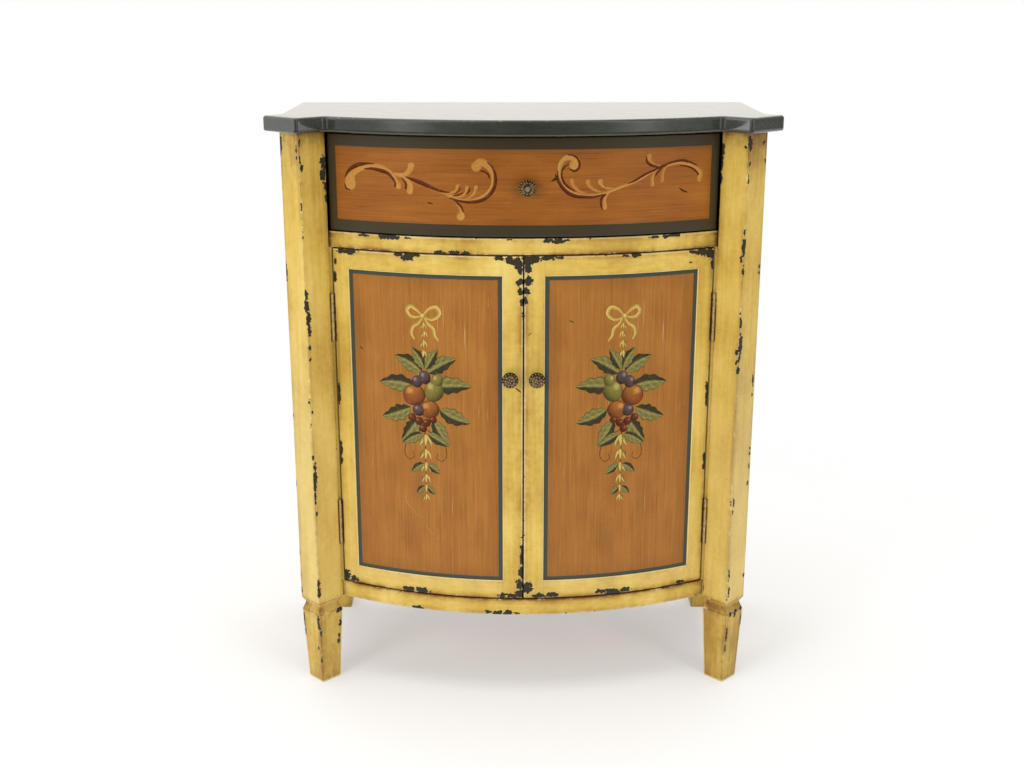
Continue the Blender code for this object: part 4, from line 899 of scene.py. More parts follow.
# Doors: stiles and rails round a panel whose face lies 1.8 mm back
door = {
    "low": 165.5 * mm, "high": 696.0 * mm, "inner": 1.0 * mm, "outer": 293.278 * mm,
    "meetingStile": 30 * mm, "hingeStile": 27 * mm, "rail": 29 * mm,
    "thick": 18 * mm, "arris": 1.2 * mm, "panelFace": 1.8 * mm, "panelBack": 10.5 * mm}
doorFlakes = {
    -1: [(-276, 693, 9, 4), (-262, 693, 9, 4), (-184, 694, 8, 3), (-169, 691, 11, 7), (-157, 694, 8, 3),
         (-34, 694, 9, 4), (-20, 691, 9, 6), (-8, 687, 7, 9), (-289, 676, 3, 5), (-290, 653, 3, 8),
         (-291, 480, 3, 10), (-291, 466, 3, 9), (-291, 384, 3, 12), (-291, 368, 3, 8), (-289, 175, 8, 9),
         (-274, 171, 8, 5), (-178, 169, 12, 5), (-158, 170, 13, 5), (-5, 677, 4, 7), (-5, 659, 6, 6),
         (-5, 645, 4, 6), (-3, 631, 3, 7), (-2, 246, 2, 8), (-2, 229, 3, 10), (-3, 209, 5, 10),
         (-5, 189, 6, 8), (-4, 173, 8, 6), (-31, 171, 8, 4), (-17, 170, 8, 4)],
    1: [(6, 688, 6, 9), (16, 692, 9, 5), (35, 694, 10, 4), (52, 694, 7, 2), (149, 694, 6, 2),
        (164, 694, 8, 3), (258, 693, 9, 3), (273, 692, 11, 6), (288, 689, 9, 9), (291, 673, 3, 8),
        (253, 678, 2, 1.5), (291, 484, 3, 9), (291, 466, 3, 12), (291, 372, 3, 9), (291, 357, 3, 8),
        (120, 172, 10, 4), (139, 168, 13, 7), (160, 171, 10, 4), (255, 169, 9, 3), (6, 680, 6, 7),
        (6, 661, 7, 7), (4, 645, 6, 6), (3, 631, 3, 6), (7, 184, 8, 10), (23, 170, 11, 4), (45, 171, 11, 4)]}


def makeDoor(word, side):
    d = door
    inner, outer = d["inner"], d["outer"]
    openIn, openOut = inner + d["meetingStile"], outer - d["hingeStile"]
    openLow, openHigh = d["low"] + d["rail"], d["high"] - d["rail"]
    body = f"{word}_door"

    # a stile is eased less where a rail meets it, so that the paint runs across the joint
    def eased(openEdge):
        def radiusAt(points):
            nearJoint = (np.abs(np.abs(points[:, 0]) - openEdge) < 8 * mm)
            beyond = np.maximum(openLow - points[:, 2], points[:, 2] - openHigh)
            share = np.clip(beyond / (1.2 * mm), 0, 1) * nearJoint
            return d["arris"] * (1 - share) + 0.12 * mm * share
        return radiusAt

    parts = []
    for part, a, b, edge in (("meetingStile", inner, openIn, openIn), ("hingeStile", openOut, outer, openOut)):
        low, high = sorted((side * a, side * b))
        parts.append((part, (low, 0, d["low"]), (high, d["thick"], d["high"]), (), eased(edge), "postPaint",
                      f"{body}_{'meeting_stile' if part == 'meetingStile' else 'hinge_stile'}"))
    low, high = sorted((side * (openIn + 0.1 * mm), side * (openOut - 0.1 * mm)))
    for part, a, b in (("bottomRail", d["low"], openLow), ("topRail", openHigh, d["high"])):
        parts.append((part, (low, 0, a), (high, d["thick"], b), ((0, 0), (0, 1)), None, "railPaint",
                      f"{body}_{'bottom_rail' if part == 'bottomRail' else 'top_rail'}"))
    for part, lowEnd, highEnd, square, softAt, paint, node in parts:
        piece = easedBoard(f"{body}_{part}", lowEnd, highEnd, d["arris"], (1.8 * mm, 4 * mm, 1.9 * mm),
                           square=square, softAt=softAt)
        points = readPoints(piece)
        s, z = points[:, 0], points[:, 2]
        storeValues(piece, "chip", flakeField(s, z, doorFlakes[side]) * (points[:, 1] < 5 * mm))
        # brown glaze along the doors' own rim and a little round the panel
        rim = np.minimum(np.minimum(np.abs(s) - inner, outer - np.abs(s)), np.minimum(z - d["low"], d["high"] - z))
        inside = np.maximum(np.maximum(openIn - np.abs(s), np.abs(s) - openOut),
                            np.maximum(openLow - z, z - openHigh))
        hidden = (points[:, 1] > 1.1 * mm) & (points[:, 1] < 17 * mm) & (rim < 0.4 * mm)
        toArris = np.where(hidden, np.minimum(points[:, 1], d["thick"] - points[:, 1]), rim)
        arris = np.clip(1 - np.minimum(toArris, np.maximum(inside, 0) + 3 * mm) / (9 * mm), 0, 1)
        storeValues(piece, "arris", arris * np.where(hidden, 0.55, 1.0))
        # the edges that face the gaps are painted brown, a painted shade, and the hinge-side rim near black along the
        # gap to the post, wider by the hinges, a painted shadow; the bottom edge is painted brown, a painted shade over
        # the gap; brown glaze along the meeting edge; the rim is painted pale, partly rubbed wear and partly a painted
        # highlight, and the lip over the panel pale, a painted highlight
        lip = (inside < 1.0 * mm) & (points[:, 1] < 1.1 * mm) & (points[:, 1] > 0.1 * mm)
        meeting = np.exp((inner - np.abs(s)) / (12 * mm)) * 0.55
        hinged = np.min([np.abs(z - at) for at in hingeAt["heights"].values()], 0) < 37 * mm
        beside = 1.9 * (outer - np.abs(s) < np.where(hinged, 1.9 * mm, 0.9 * mm))
        pale = (rim < 1.9 * mm) & (points[:, 1] < 1.1 * mm) & (beside == 0) & (z > d["low"] + 2 * mm)
        under = np.exp((d["low"] - z) / (3.5 * mm))
        dark = np.max([np.exp(-rim / (4 * mm)) * 0.5 * (1 - hidden), meeting, hidden * 0.8, beside, under], 0)
        # towards the floor the doors are painted a little paler, a painted light from the floor
        dark = dark - paintedFloorLight(z, 350 * mm, 150 * mm, 0.12)
        storeValues(piece, "shade", np.where(lip, -0.7, np.where(pale, -0.35, dark)))
        layOut(piece, finish[paint])
        smoothUnder(piece, 40)
        stand(piece, body, node)

    low, high = sorted((side * openIn, side * openOut))
    panel = easedBoard(f"{body}_panelBoard", (low, d["panelFace"], openLow), (high, d["panelBack"], openHigh),
                       0.3 * mm, (3 * mm, 5 * mm, 6 * mm))
    layOut(panel, finish["doorFace"])
    smoothUnder(panel, 40)
    stand(panel, body, f"{body}_panel")


for word, side in (("left", -1), ("right", 1)):
    makeDoor(word, side)
print("doors made")

# The rest of the casework keeps its solids
keepNodes = {
    "railPaint": ["door_jamb_left", "door_jamb_right"],
    "carcass": ["bottom_board", "shelf", "back_top_rail", "back_middle_rail"],
    "plywood": ["back_panel", "drawer_bottom"],
    "lining": ["drawer_side_left", "drawer_side_right", "drawer_back", "drawer_runner_left", "drawer_runner_right"],
    "steel": ["drawer_knob_screw", "left_door_knob_screw", "right_door_knob_screw", "left_strike_plate",
              "right_strike_plate", "shelf_pin_front_left", "shelf_pin_front_right", "shelf_pin_rear_left",
              "shelf_pin_rear_right"],
    "plastic": ["left_catch", "right_catch"]}
for paint, names in keepNodes.items():
    for name in names:
        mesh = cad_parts[name].data
        mesh.materials.clear()
        mesh.materials.append(finish[paint])


# a profile of radius and height turned about Z, closed at both ends
def turnProfile(name, profile, around):
    profile = np.array(profile, float)
    angles = np.arange(around) * 2 * math.pi / around
    body = profile[1:-1]
    rings = [np.column_stack([r * np.cos(angles), r * np.sin(angles), np.full(around, h)]) for r, h in body]
    points = np.concatenate([[(0, 0, profile[0][1])], *rings, [(0, 0, profile[-1][1])]])
    i = np.arange(around)
    j = (i + 1) % around
    faces = [(0, 1 + b, 1 + a) for a, b in zip(i, j)]
    for k in range(len(body) - 1):
        a, b = 1 + k * around, 1 + (k + 1) * around
        faces += [(a + m, a + n, b + n, b + m) for m, n in zip(i, j)]
    last, end = 1 + (len(body) - 1) * around, len(points) - 1
    faces += [(last + a, last + b, end) for a, b in zip(i, j)]
    return newPiece(name, points, faces)


# beads set round a circle, each drawn out towards the middle
def makeRingTree():
    tree, start = newTree("beadRing", [
        ("Count", "NodeSocketInt"), ("Ring Radius", "NodeSocketFloat"), ("Height", "NodeSocketFloat"),
        ("Bead Radius", "NodeSocketFloat"), ("Stretch", "NodeSocketFloat"), ("Turn", "NodeSocketFloat"),
        ("Finish", "NodeSocketMaterial")])
    inputs = start.outputs
    circle = addNode(tree, "GeometryNodeMeshCircle", {"Vertices": inputs["Count"], "Radius": inputs["Ring Radius"]})
    bead = addNode(tree, "GeometryNodeMeshIcoSphere", {"Radius": inputs["Bead Radius"], "Subdivisions": 2})
    place = addNode(tree, "GeometryNodeInputPosition")
    point = addNode(tree, "FunctionNodeAlignRotationToVector", {"Vector": place}, axis="X")
    size = addNode(tree, "ShaderNodeCombineXYZ", {0: inputs["Stretch"], 1: 1.0, 2: 0.55})
    beads = addNode(tree, "GeometryNodeInstanceOnPoints", {
        "Points": circle, "Instance": bead, "Rotation": point, "Scale": size})
    turn = addNode(tree, "ShaderNodeCombineXYZ", {2: inputs["Turn"]})
    lift = addNode(tree, "ShaderNodeCombineXYZ", {2: inputs["Height"]})
    whole = addNode(tree, "GeometryNodeRealizeInstances", {0: beads})
    placed = addNode(tree, "GeometryNodeTransform", {"Geometry": whole, "Translation": lift, "Rotation": turn})
    return endTree(tree, start, placed)


beadRing = makeRingTree()


def joinMeshes(name, pieces):
    target = pieces[0]
    with bpy.context.temp_override(active_object=target, selected_editable_objects=pieces,
                                   selected_objects=pieces, object=target):
        bpy.ops.object.join()
    target.name = name
    target.data.name = name
    return target


# Knobs: cast brass, a turned base and neck under a low dome set with beads; the drawer's has petals.
# Each ring is count, ring radius, bead radius, stretch and turn in beads.
knob = {
    "profile": [(0, 0.1), (7.7, 0.1), (8.0, 0.5), (8.0, 1.3), (7.4, 1.9), (5.6, 2.2), (4.8, 2.9), (4.5, 4.5),
                (4.6, 7.0), (5.2, 9.0), (6.8, 10.3), (9.0, 11.0), (11.0, 11.5), (11.8, 12.2), (11.9, 13.0),
                (11.6, 13.9), (11.0, 14.4), (10.2, 15.0), (8.8, 16.2), (7.0, 17.3), (5.0, 18.3), (3.0, 18.9),
                (1.4, 19.15), (0, 19.2)],
    "domed": [(14, 10.0, 1.35, 1.0, 0), (9, 6.3, 1.4, 1.0, 0.4), (4, 2.7, 1.4, 1.0, 0.2)],
    "petalled": [(18, 10.9, 1.0, 1.2, 0), (13, 8.0, 0.95, 1.5, 0.5)],
    "boss": {"domed": 0.8, "petalled": 3.8}, "around": 48}


def makeKnob(name, along, height, style, body, node):
    profile = np.array(knob["profile"])
    base = turnProfile(name, profile * mm, knob["around"])
    storeValues(base, "polishAndSheen", np.clip((readPoints(base)[:, 2] / mm - 9) / 16, 0, 0.52))
    top = profile[profile[:, 1] > 12.5]
    pieces = [base]
    rings = [*knob[style], (1, 0.0, knob["boss"][style], 1.0, 0)]
    for count, radius, bead, stretch, turn in rings:
        level = np.interp(radius, top[::-1, 0], top[::-1, 1])
        ring = newPiece(f"{name}_ring", [(0, 0, 0)], [])
        if count == 1:
            bpy.data.objects.remove(ring)
            ring = turnProfile(f"{name}_boss", [(bead * math.sin(a) * mm, (19.0 - bead * 0.55 * math.cos(a)) * mm)
                                                for a in np.linspace(0, math.pi, 9)], 20)
        else:
            applyTree(ring, beadRing, {
                "Count": count, "Ring Radius": radius * mm, "Height": (level + 0.1) * mm, "Bead Radius": bead * mm,
                "Stretch": float(stretch), "Turn": turn * 2 * math.pi / count, "Finish": finish["knob"]})
        points = readPoints(ring)
        storeValues(ring, "polishAndSheen", np.clip((points[:, 2] - points[:, 2].min()) / np.ptp(points[:, 2]), 0, 1))
        pieces.append(ring)
    whole = joinMeshes(name, pieces)
    angle = along / bow["radius"]
    out = Vector((math.sin(angle), -math.cos(angle), 0))
    up = Vector((0, 0, 1))
    across = up.cross(out)
    spot = Vector((bow["radius"] * math.sin(angle), bow["centreY"] - bow["radius"] * math.cos(angle), height))
    place = Matrix((across, up, out)).transposed().to_4x4()
    whole.data.transform(Matrix.Translation(spot) @ place)
    whole.data.materials.clear()
    whole.data.materials.append(finish["knob"])
    smoothUnder(whole, 50)
    return stand(whole, body, node)


makeKnob("drawerKnob", *drawer["knob"], "petalled", "drawer", "drawer_knob")
for word, side in (("left", -1), ("right", 1)):
    makeKnob(f"{word}DoorKnob", side * 19.1 * mm, 516.3 * mm, "domed", f"{word}_door", f"{word}_door_knob")
print("knobs made")

# Butt hinges: five knuckles with softened ends on two let-in leaves, and a pin with round tips
hinge = {
    "axis": (284.314 * mm, -93.421 * mm), "heights": hingeAt["heights"],
    "length": 72.0, "knuckles": 5, "radius": 2.8, "soft": 0.45, "leaf": (0.15, 1.35), "deep": 17.1}


def makeHinge(word, side, place):
    h = hinge
    angle = math.asin(h["axis"][0] / (bow["radius"] + 3.1 * mm))
    turn = Matrix.Translation((h["axis"][0], h["axis"][1], h["heights"][place])) @ Matrix.Rotation(angle, 4, "Z")
    mirror = Matrix.Diagonal((side, 1, 1, 1))
    pitch = h["length"] / h["knuckles"]
    for own, direction, body in (("frame", 1, "cabinet"), ("door", -1, f"{word}_door")):
        pieces = []
        for k in range(0 if own == "frame" else 1, h["knuckles"], 2):
            a = -h["length"] / 2 + k * pitch + 0.2
            b = a + pitch - 0.4
            r, e = h["radius"], h["soft"]
            profile = [(0, a), (r - e, a), (r - 0.13, a + 0.13), (r, a + e), (r, a + 2.0), (r - 0.12, a + 2.2),
                       (r, a + 2.4), (r, b - 2.4), (r - 0.12, b - 2.2), (r, b - 2.0), (r, b - e),
                       (r - 0.13, b - 0.13), (r - e, b), (0, b)]
            pieces.append(turnProfile("knuckle", np.array(profile) * mm, 28))
            # each knuckle is painted brighter on its face towards the front and darker at its sides, a painted
            # highlight and painted shade
            towardFront = np.clip(-readPoints(pieces[-1])[:, 1] / (r * mm), 0, 1)
            storeValues(pieces[-1], "polishAndSheen", 0.35 + 0.65 * towardFront)
        near, far = sorted((direction * h["leaf"][0], direction * h["leaf"][1]))
        leaf = easedBoard("leaf", (near * mm, 2.2 * mm, -h["length"] / 2 * mm), (far * mm, h["deep"] * mm, h["length"] / 2 * mm),
                          0.2 * mm, (1.0 * mm, 3 * mm, 6 * mm))
        storeValues(leaf, "polishAndSheen", np.full(len(leaf.data.vertices), 0.35))
        whole = joinMeshes(f"{word}_{place}_{own}Leaf", pieces + [leaf])
        finishHinge(whole, mirror @ turn, side, body, f"{word}_{place}_hinge_{own}_leaf")
    half = h["length"] / 2
    tip = [(0, -half - 1.5), (1.2, -half - 1.4), (2.0, -half - 0.9), (2.1, -half - 0.4), (1.7, -half - 0.1), (1.4, -half)]
    profile = tip + [(r, -z) for r, z in tip[::-1]]
    pin = turnProfile(f"{word}_{place}_pin", np.array(profile) * mm, 24)
    storeValues(pin, "polishAndSheen", np.full(len(pin.data.vertices), 0.7))
    finishHinge(pin, mirror @ turn, side, "cabinet", f"{word}_{place}_hinge_pin")


def finishHinge(piece, place, side, body, node):
    piece.data.transform(place)
    if side < 0:
        piece.data.flip_normals()
    piece.data.materials.clear()
    piece.data.materials.append(finish["hinge"])
    smoothUnder(piece, 45)
    stand(piece, body, node)


for word, side in (("left", -1), ("right", 1)):
    for place in ("upper", "lower"):
        makeHinge(word, side, place)
print("hinges made")


# a hand-drawn path through points, each with its own further values, sampled about every step
def curveThrough(points, step):
    points = np.array(points, float)
    ends = np.concatenate([[2 * points[0] - points[1]], points, [2 * points[-1] - points[-2]]])
    made = []
    for a, b, c, d in zip(ends, ends[1:], ends[2:], ends[3:]):
        count = max(2, int(math.hypot(*(c - b)[:2]) / step))
        t = np.linspace(0, 1, count, endpoint=False)[:, None]
        made.append(0.5 * (2 * b + (c - a) * t + (2 * a - 5 * b + 4 * c - d) * t ** 2 + (3 * b - a - 3 * c + d) * t ** 3))
    return np.concatenate([*made, points[-1:]])


def between(first, last, share):
    first, last = np.array(first), np.array(last)
    return first + (last - first) * np.clip(share, 0, 1)[..., None]


# One brush stroke as a low closed ridge on the face, from a path of (x, z, half width) in mm. Its
# pigment is asked for at u along it and v across it, from -1 to 1.
def brushStroke(path, pigmentAt, lift, rise=0.16, across=(-1, -0.85, -0.5, 0, 0.5, 0.85, 1)):
    line = curveThrough(path, 1.0)
    tangent = np.gradient(line[:, :2], axis=0)
    tangent /= np.linalg.norm(tangent, axis=1)[:, None] + 1e-9
    caps = []
    for end, back in ((0, -1), (-1, 1)):
        x, z, w = line[end]
        caps.append([(x + back * tangent[end][0] * w * math.sin(a), z + back * tangent[end][1] * w * math.sin(a),
                      max(w * math.cos(a), 0.02)) for a in np.linspace(0.35, math.pi / 2, 4)])
    line = np.concatenate([caps[0][::-1], line, caps[1]])
    tangent = np.concatenate([np.repeat(tangent[:1], 4, 0), tangent, np.repeat(tangent[-1:], 4, 0)])
    normal = np.column_stack([-tangent[:, 1], tangent[:, 0]])
    v = np.array([-1, *across, 1])
    dome = np.concatenate([[-1], np.sqrt(1 - np.array(across) ** 2), [-1]])
    width = line[:, 2:3]
    x = line[:, 0:1] + normal[:, 0:1] * width * v
    z = line[:, 1:2] + normal[:, 1:2] * width * v
    y = np.where(dome < 0, 0.1, -lift - rise * np.minimum(1, width / 1.2) * dome)
    points = np.stack([x, np.broadcast_to(y, x.shape), z], 2).reshape(-1, 3)
    rows, cols = x.shape
    i, j = np.meshgrid(np.arange(rows - 1), np.arange(cols), indexing="ij")
    k = (j + 1) % cols
    faces = np.stack([i * cols + j, i * cols + k, (i + 1) * cols + k, (i + 1) * cols + j], 2).reshape(-1, 4).tolist()
    faces += [list(range(cols))[::-1], [(rows - 1) * cols + c for c in range(cols)]]
    u = np.linspace(0, 1, rows)[:, None]
    return points, faces, pigmentAt(*np.broadcast_arrays(u, v[None])).reshape(-1, 4)


# pigment that goes from one colour to the other across the stroke, and all the last in its head
def twoTone(first, last, edge=0.0, head=0.8):
    first, last = linear(first), linear(last)
    return lambda u, v: between(first, last, (v - edge) / 0.7 + 0.5 + np.clip((u - head) / 0.12, 0, 1))


# A leaf on a bent midrib: broad teeth along its edge, the near half light and the far half dark,
# with pale veins
def leafShape(place, length, width, angle, bend, lift, teeth=0):
    ahead = np.linspace(0, 1, 9)
    turn = math.radians(angle) + math.radians(bend) * (ahead - 0.5)
    x = place[0] + np.concatenate([[0], np.cumsum(np.cos(turn[1:]) * length / 8)])
    z = place[1] + np.concatenate([[0], np.cumsum(np.sin(turn[1:]) * length / 8)])
    half = width * np.interp(ahead, [0, 0.12, 0.35, 0.6, 0.85, 1], [0.1, 0.6, 1, 0.88, 0.42, 0.03]) / 2
    if teeth:
        half = half * (0.9 + 0.16 * np.abs(np.sin(ahead * math.pi * teeth)))
    light, mid, dark, vein = (linear(c) for c in festoon["leaf"])

    def pigmentAt(u, v):
        colour = between(mid, dark, 0.5 - v * 1.3)
        colour = between(colour, light, (v - 0.1) * 1.1)
        ribs = np.abs((u * 5.5 - np.abs(v) * 1.1) % 1 - 0.5) < 0.14
        colour = between(colour, vein, np.where(ribs & (v > -0.1) & (np.abs(v) < 0.9), 0.42, 0.0))
        colour = between(colour, vein, np.where(np.abs(v) < 0.09, 0.6, 0.0))
        return between(colour, dark, np.where(np.abs(v) > 0.93, 0.8, 0.0))

    return brushStroke(np.column_stack([x, z, half]), pigmentAt, lift,
                       across=(-1, -0.95, -0.8, -0.55, -0.3, -0.08, 0.08, 0.3, 0.55, 0.8, 0.95, 1))


# A fruit as a low dome, shaded round from a light at its upper left, with a blush over one side
def fruitShape(place, size, turn, colours, lift, rise=0.25):
    dark, body, light, blush = (linear(c) for c in colours)
    count = 28 if size[0] > 8 else 16
    reach = np.array([0, 0.25, 0.45, 0.62, 0.77, 0.88, 0.96, 1, 1])
    angle = np.arange(count) * 2 * math.pi / count
    px = (reach[1:, None] * np.cos(angle)).ravel()
    pz = (reach[1:, None] * np.sin(angle)).ravel()
    px, pz = np.concatenate([[0], px]), np.concatenate([[0], pz])
    tall = np.sqrt(np.maximum(0, 1 - px ** 2 - pz ** 2))
    y = -lift - rise * tall
    y[-count:] = 0.1
    a = math.radians(turn)
    x = place[0] + size[0] * px * math.cos(a) - size[1] * pz * math.sin(a)
    z = place[1] + size[0] * px * math.sin(a) + size[1] * pz * math.cos(a)
    lean = (z - place[1] - (x - place[0])) / (1.4 * max(size))
    colour = between(dark, body, 0.62 + lean * 0.75 + (tall - 0.6) * 0.5)
    colour = between(colour, blush, 0.15 - px * 0.9 - (1 - tall) * 0.2)
    spot = (x - place[0] + 0.38 * size[0]) ** 2 / size[0] ** 2 + (z - place[1] - 0.4 * size[1]) ** 2 / size[1] ** 2
    colour = between(colour, light, 0.85 - spot * 5.5)
    colour = between(colour, dark, np.where(px ** 2 + pz ** 2 > 0.9, 0.75, 0.0))
    faces = [(0, 1 + k, 1 + (k + 1) % count) for k in range(count)]
    for ring in range(len(reach) - 2):
        a, b = 1 + ring * count, 1 + (ring + 1) * count
        faces += [(a + k, b + k, b + (k + 1) % count, a + (k + 1) % count) for k in range(count)]
    faces.append([len(px) - count + k for k in range(count)])
    return np.column_stack([x, y, z]), faces, colour


# many shapes gathered into one piece on the bow
def layShapes(name, shapes, face, body, mirror=1):
    points, faces, pigment, start = [], [], [], 0
    for p, f, c in shapes:
        points.append(p)
        faces += [[v + start for v in quad] for quad in f]
        pigment.append(c)
        start += len(p)
    points = np.concatenate(points) * mm
    points[:, 0] *= mirror
    points[:, 1] += face
    piece = newPiece(name, points, faces)
    storeValues(piece, "pigment", np.concatenate(pigment), "FLOAT_COLOR")
    shape = bmesh.new()
    shape.from_mesh(piece.data)
    bmesh.ops.recalc_face_normals(shape, faces=shape.faces)
    shape.to_mesh(piece.data)
    shape.free()
    layOut(piece, finish["stroke"])
    smoothUnder(piece, 60)
    return stand(piece, body)


# The drawer's painted scrolls: buff strokes with round ends, and oxblood shading beside them, in mm
# from the middle of the drawer along the bow and from the floor
scroll = {
    "buff": "be843c", "ball": "c38c42", "tan": "a0682c", "oxblood": "501d06", "plum": "683012",
    "strokes": [
        ("tan", "buff", [(-180, 808, 1.2), (-169, 805, 2.1), (-154, 801, 2.8), (-137, 794, 2.8), (-119, 787, 2.8),
                         (-105, 781, 2.7), (-93, 776, 2.7), (-79, 774, 2.6), (-65, 777, 2.8), (-52, 784, 3.3),
                         (-44, 795, 3.5), (-42, 806, 3.7), (-44, 816, 4.2), (-51, 825, 5.1), (-61, 829, 5.6),
                         (-67, 823, 7.1)]),
        ("buff", "ball", [(-181, 793, 4.6), (-185, 800, 3.5), (-190, 808, 3.4), (-200, 815, 3.7), (-212, 819, 3.8),
                          (-228, 819, 3.9), (-241, 816, 4.6), (-251, 811, 5.6), (-257, 804, 7.0), (-258, 793, 9.1)]),
        ("buff", "ball", [(-186, 810, 1.5), (-178, 808, 3.0), (-171, 809, 3.3), (-164, 815, 3.9), (-161, 822, 4.8)]),
        ("buff", "ball", [(-178, 807, 1.5), (-172, 804, 2.4), (-166, 799, 3.3), (-163, 792, 4.2), (-164, 786, 4.5)]),
        ("tan", "buff", [(-111, 784, 1.2), (-102, 785, 2.0), (-95, 789, 2.7), (-93, 795, 3.2)]),
        ("tan", "buff", [(-98, 779, 1.2), (-89, 780, 2.0), (-81, 786, 2.7), (-80, 793, 3.1)]),
        ("tan", "buff", [(-82, 777, 1.1), (-75, 780, 1.7), (-69, 786, 2.3), (-67, 794, 2.8)]),
        ("tan", "ball", [(-109, 782, 1.2), (-101, 776, 1.9), (-94, 769, 2.0), (-90, 762, 2.8), (-90, 753, 6.3)]),
        ("tan", "ball", [(264, 800, 5.5), (265, 809, 5.0), (257, 816, 3.9), (245, 822, 3.5), (229, 825, 3.2),
                         (213, 823, 2.9), (197, 818, 2.7), (182, 812, 2.6), (167, 804, 2.7), (149, 797, 2.8),
                         (131, 791, 2.8), (114, 785, 2.9), (97, 782, 3.2), (79, 784, 3.3), (66, 789, 3.3),
                         (57, 796, 3.3), (51, 807, 3.2), (50, 817, 3.2), (52, 827, 3.4), (58, 834, 3.7),
                         (67, 835, 4.1), (74, 831, 4.8), (70, 825, 6.5)]),
        ("tan", "buff", [(86, 786, 1.1), (78, 789, 2.0), (71, 796, 2.7), (68, 803, 3.3)]),
        ("tan", "buff", [(110, 787, 1.2), (101, 790, 2.2), (94, 795, 3.0), (91, 801, 3.7)]),
        ("tan", "ball", [(131, 792, 1.2), (121, 792, 2.2), (113, 796, 3.2), (109, 801, 4.1)]),
        ("tan", "buff", [(203, 821, 1.3), (194, 821, 2.0), (185, 826, 2.9), (181, 834, 4.3)]),
        ("tan", "buff", [(191, 815, 1.2), (187, 809, 2.3), (185, 802, 3.1), (186, 795, 3.4)]),
        ("tan", "buff", [(210, 822, 1.3), (204, 816, 2.2), (201, 809, 2.7), (201, 800, 3.0)]),
        ("tan", "ball", [(124, 788, 1.2), (118, 783, 2.3), (114, 775, 3.2), (115, 765, 3.8)])],
    "shading": [
        [(-266, 802, 0.8), (-262, 809, 2.0), (-254, 816, 3.0), (-242, 821, 3.0), (-229, 823, 1.6), (-218, 823, 0.6)],
        [(-234, 815, 0.8), (-222, 816, 1.9), (-209, 814, 2.7), (-198, 811, 2.6), (-191, 805, 2.0), (-186, 798, 1.5),
         (-186, 792, 1.5)],
        [(-176, 805, 0.6), (-172, 801, 1.4), (-169, 795, 1.5), (-170, 790, 1.5)],
        [(-169, 806, 0.9), (-157, 802, 2.5), (-143, 797, 3.0), (-128, 791, 2.1), (-115, 787, 1.5), (-105, 786, 0.7)],
        [(-91, 795, 0.7), (-91, 790, 1.1), (-97, 784, 0.7)],
        [(-100, 781, 0.6), (-92, 783, 1.1), (-86, 786, 0.7)],
        [(-77, 793, 0.7), (-77, 789, 1.4), (-81, 784, 0.9)],
        [(-105, 778, 0.9), (-90, 774, 1.7), (-76, 773, 2.1), (-62, 775, 2.4), (-51, 781, 2.5), (-43, 791, 2.5),
         (-40, 803, 2.4), (-41, 814, 1.8), (-45, 823, 1.3), (-51, 829, 0.7)],
        [(-62, 817, 0.7), (-56, 816, 1.4), (-51, 813, 1.4), (-48, 807, 1.0)],
        [(-102, 777, 0.7), (-95, 772, 1.6), (-89, 766, 1.7), (-86, 759, 1.0)],
        [(-267, 792, 0.9), (-265, 786, 1.4), (-259, 784, 1.0)],
        [(62, 839, 0.7), (69, 838, 1.3), (75, 834, 1.6), (78, 827, 1.6), (77, 820, 1.4), (71, 816, 1.4), (65, 819, 1.0)],
        [(63, 826, 0.7), (58, 823, 1.3), (54, 818, 1.4), (53, 810, 1.4), (56, 801, 2.0), (64, 793, 1.7), (72, 788, 0.9)],
        [(47, 817, 0.7), (48, 807, 1.7), (52, 797, 2.5), (60, 788, 2.8), (71, 782, 2.7), (85, 780, 2.3),
         (100, 780, 1.7), (114, 783, 0.9)],
        [(149, 797, 0.7), (161, 802, 1.7), (176, 810, 1.7), (191, 816, 1.6), (203, 821, 1.6), (216, 825, 1.6),
         (232, 827, 2.0), (245, 824, 1.7), (257, 819, 0.8)],
        [(176, 834, 0.8), (177, 827, 1.7), (184, 822, 2.2), (194, 819, 1.6)],
        [(229, 820, 0.6), (242, 818, 1.3), (253, 813, 1.5), (260, 806, 1.4)],
        [(190, 806, 0.5), (194, 812, 1.4), (200, 818, 1.4), (207, 821, 0.6)],
        [(117, 783, 0.9), (111, 778, 1.9), (110, 769, 1.6), (112, 762, 1.0)],
        [(114, 797, 0.7), (117, 793, 0.6)]]}


def makeScrolls():
    shapes = []
    for k, (first, last, path) in enumerate(scroll["strokes"]):
        shapes.append(brushStroke(path, twoTone(scroll[first], scroll[last], -0.2), 0.02 + 0.02 * (k % 5)))
    for k, path in enumerate(scroll["shading"]):
        pigment = twoTone(scroll["oxblood"], scroll["plum"], head=2)
        shapes.append(brushStroke(path, pigment, 0.18 + 0.01 * (k % 3), rise=0.1))
    layShapes("drawerScrolls", shapes, 0.0, "drawer")


makeScrolls()
print("scrolls painted")

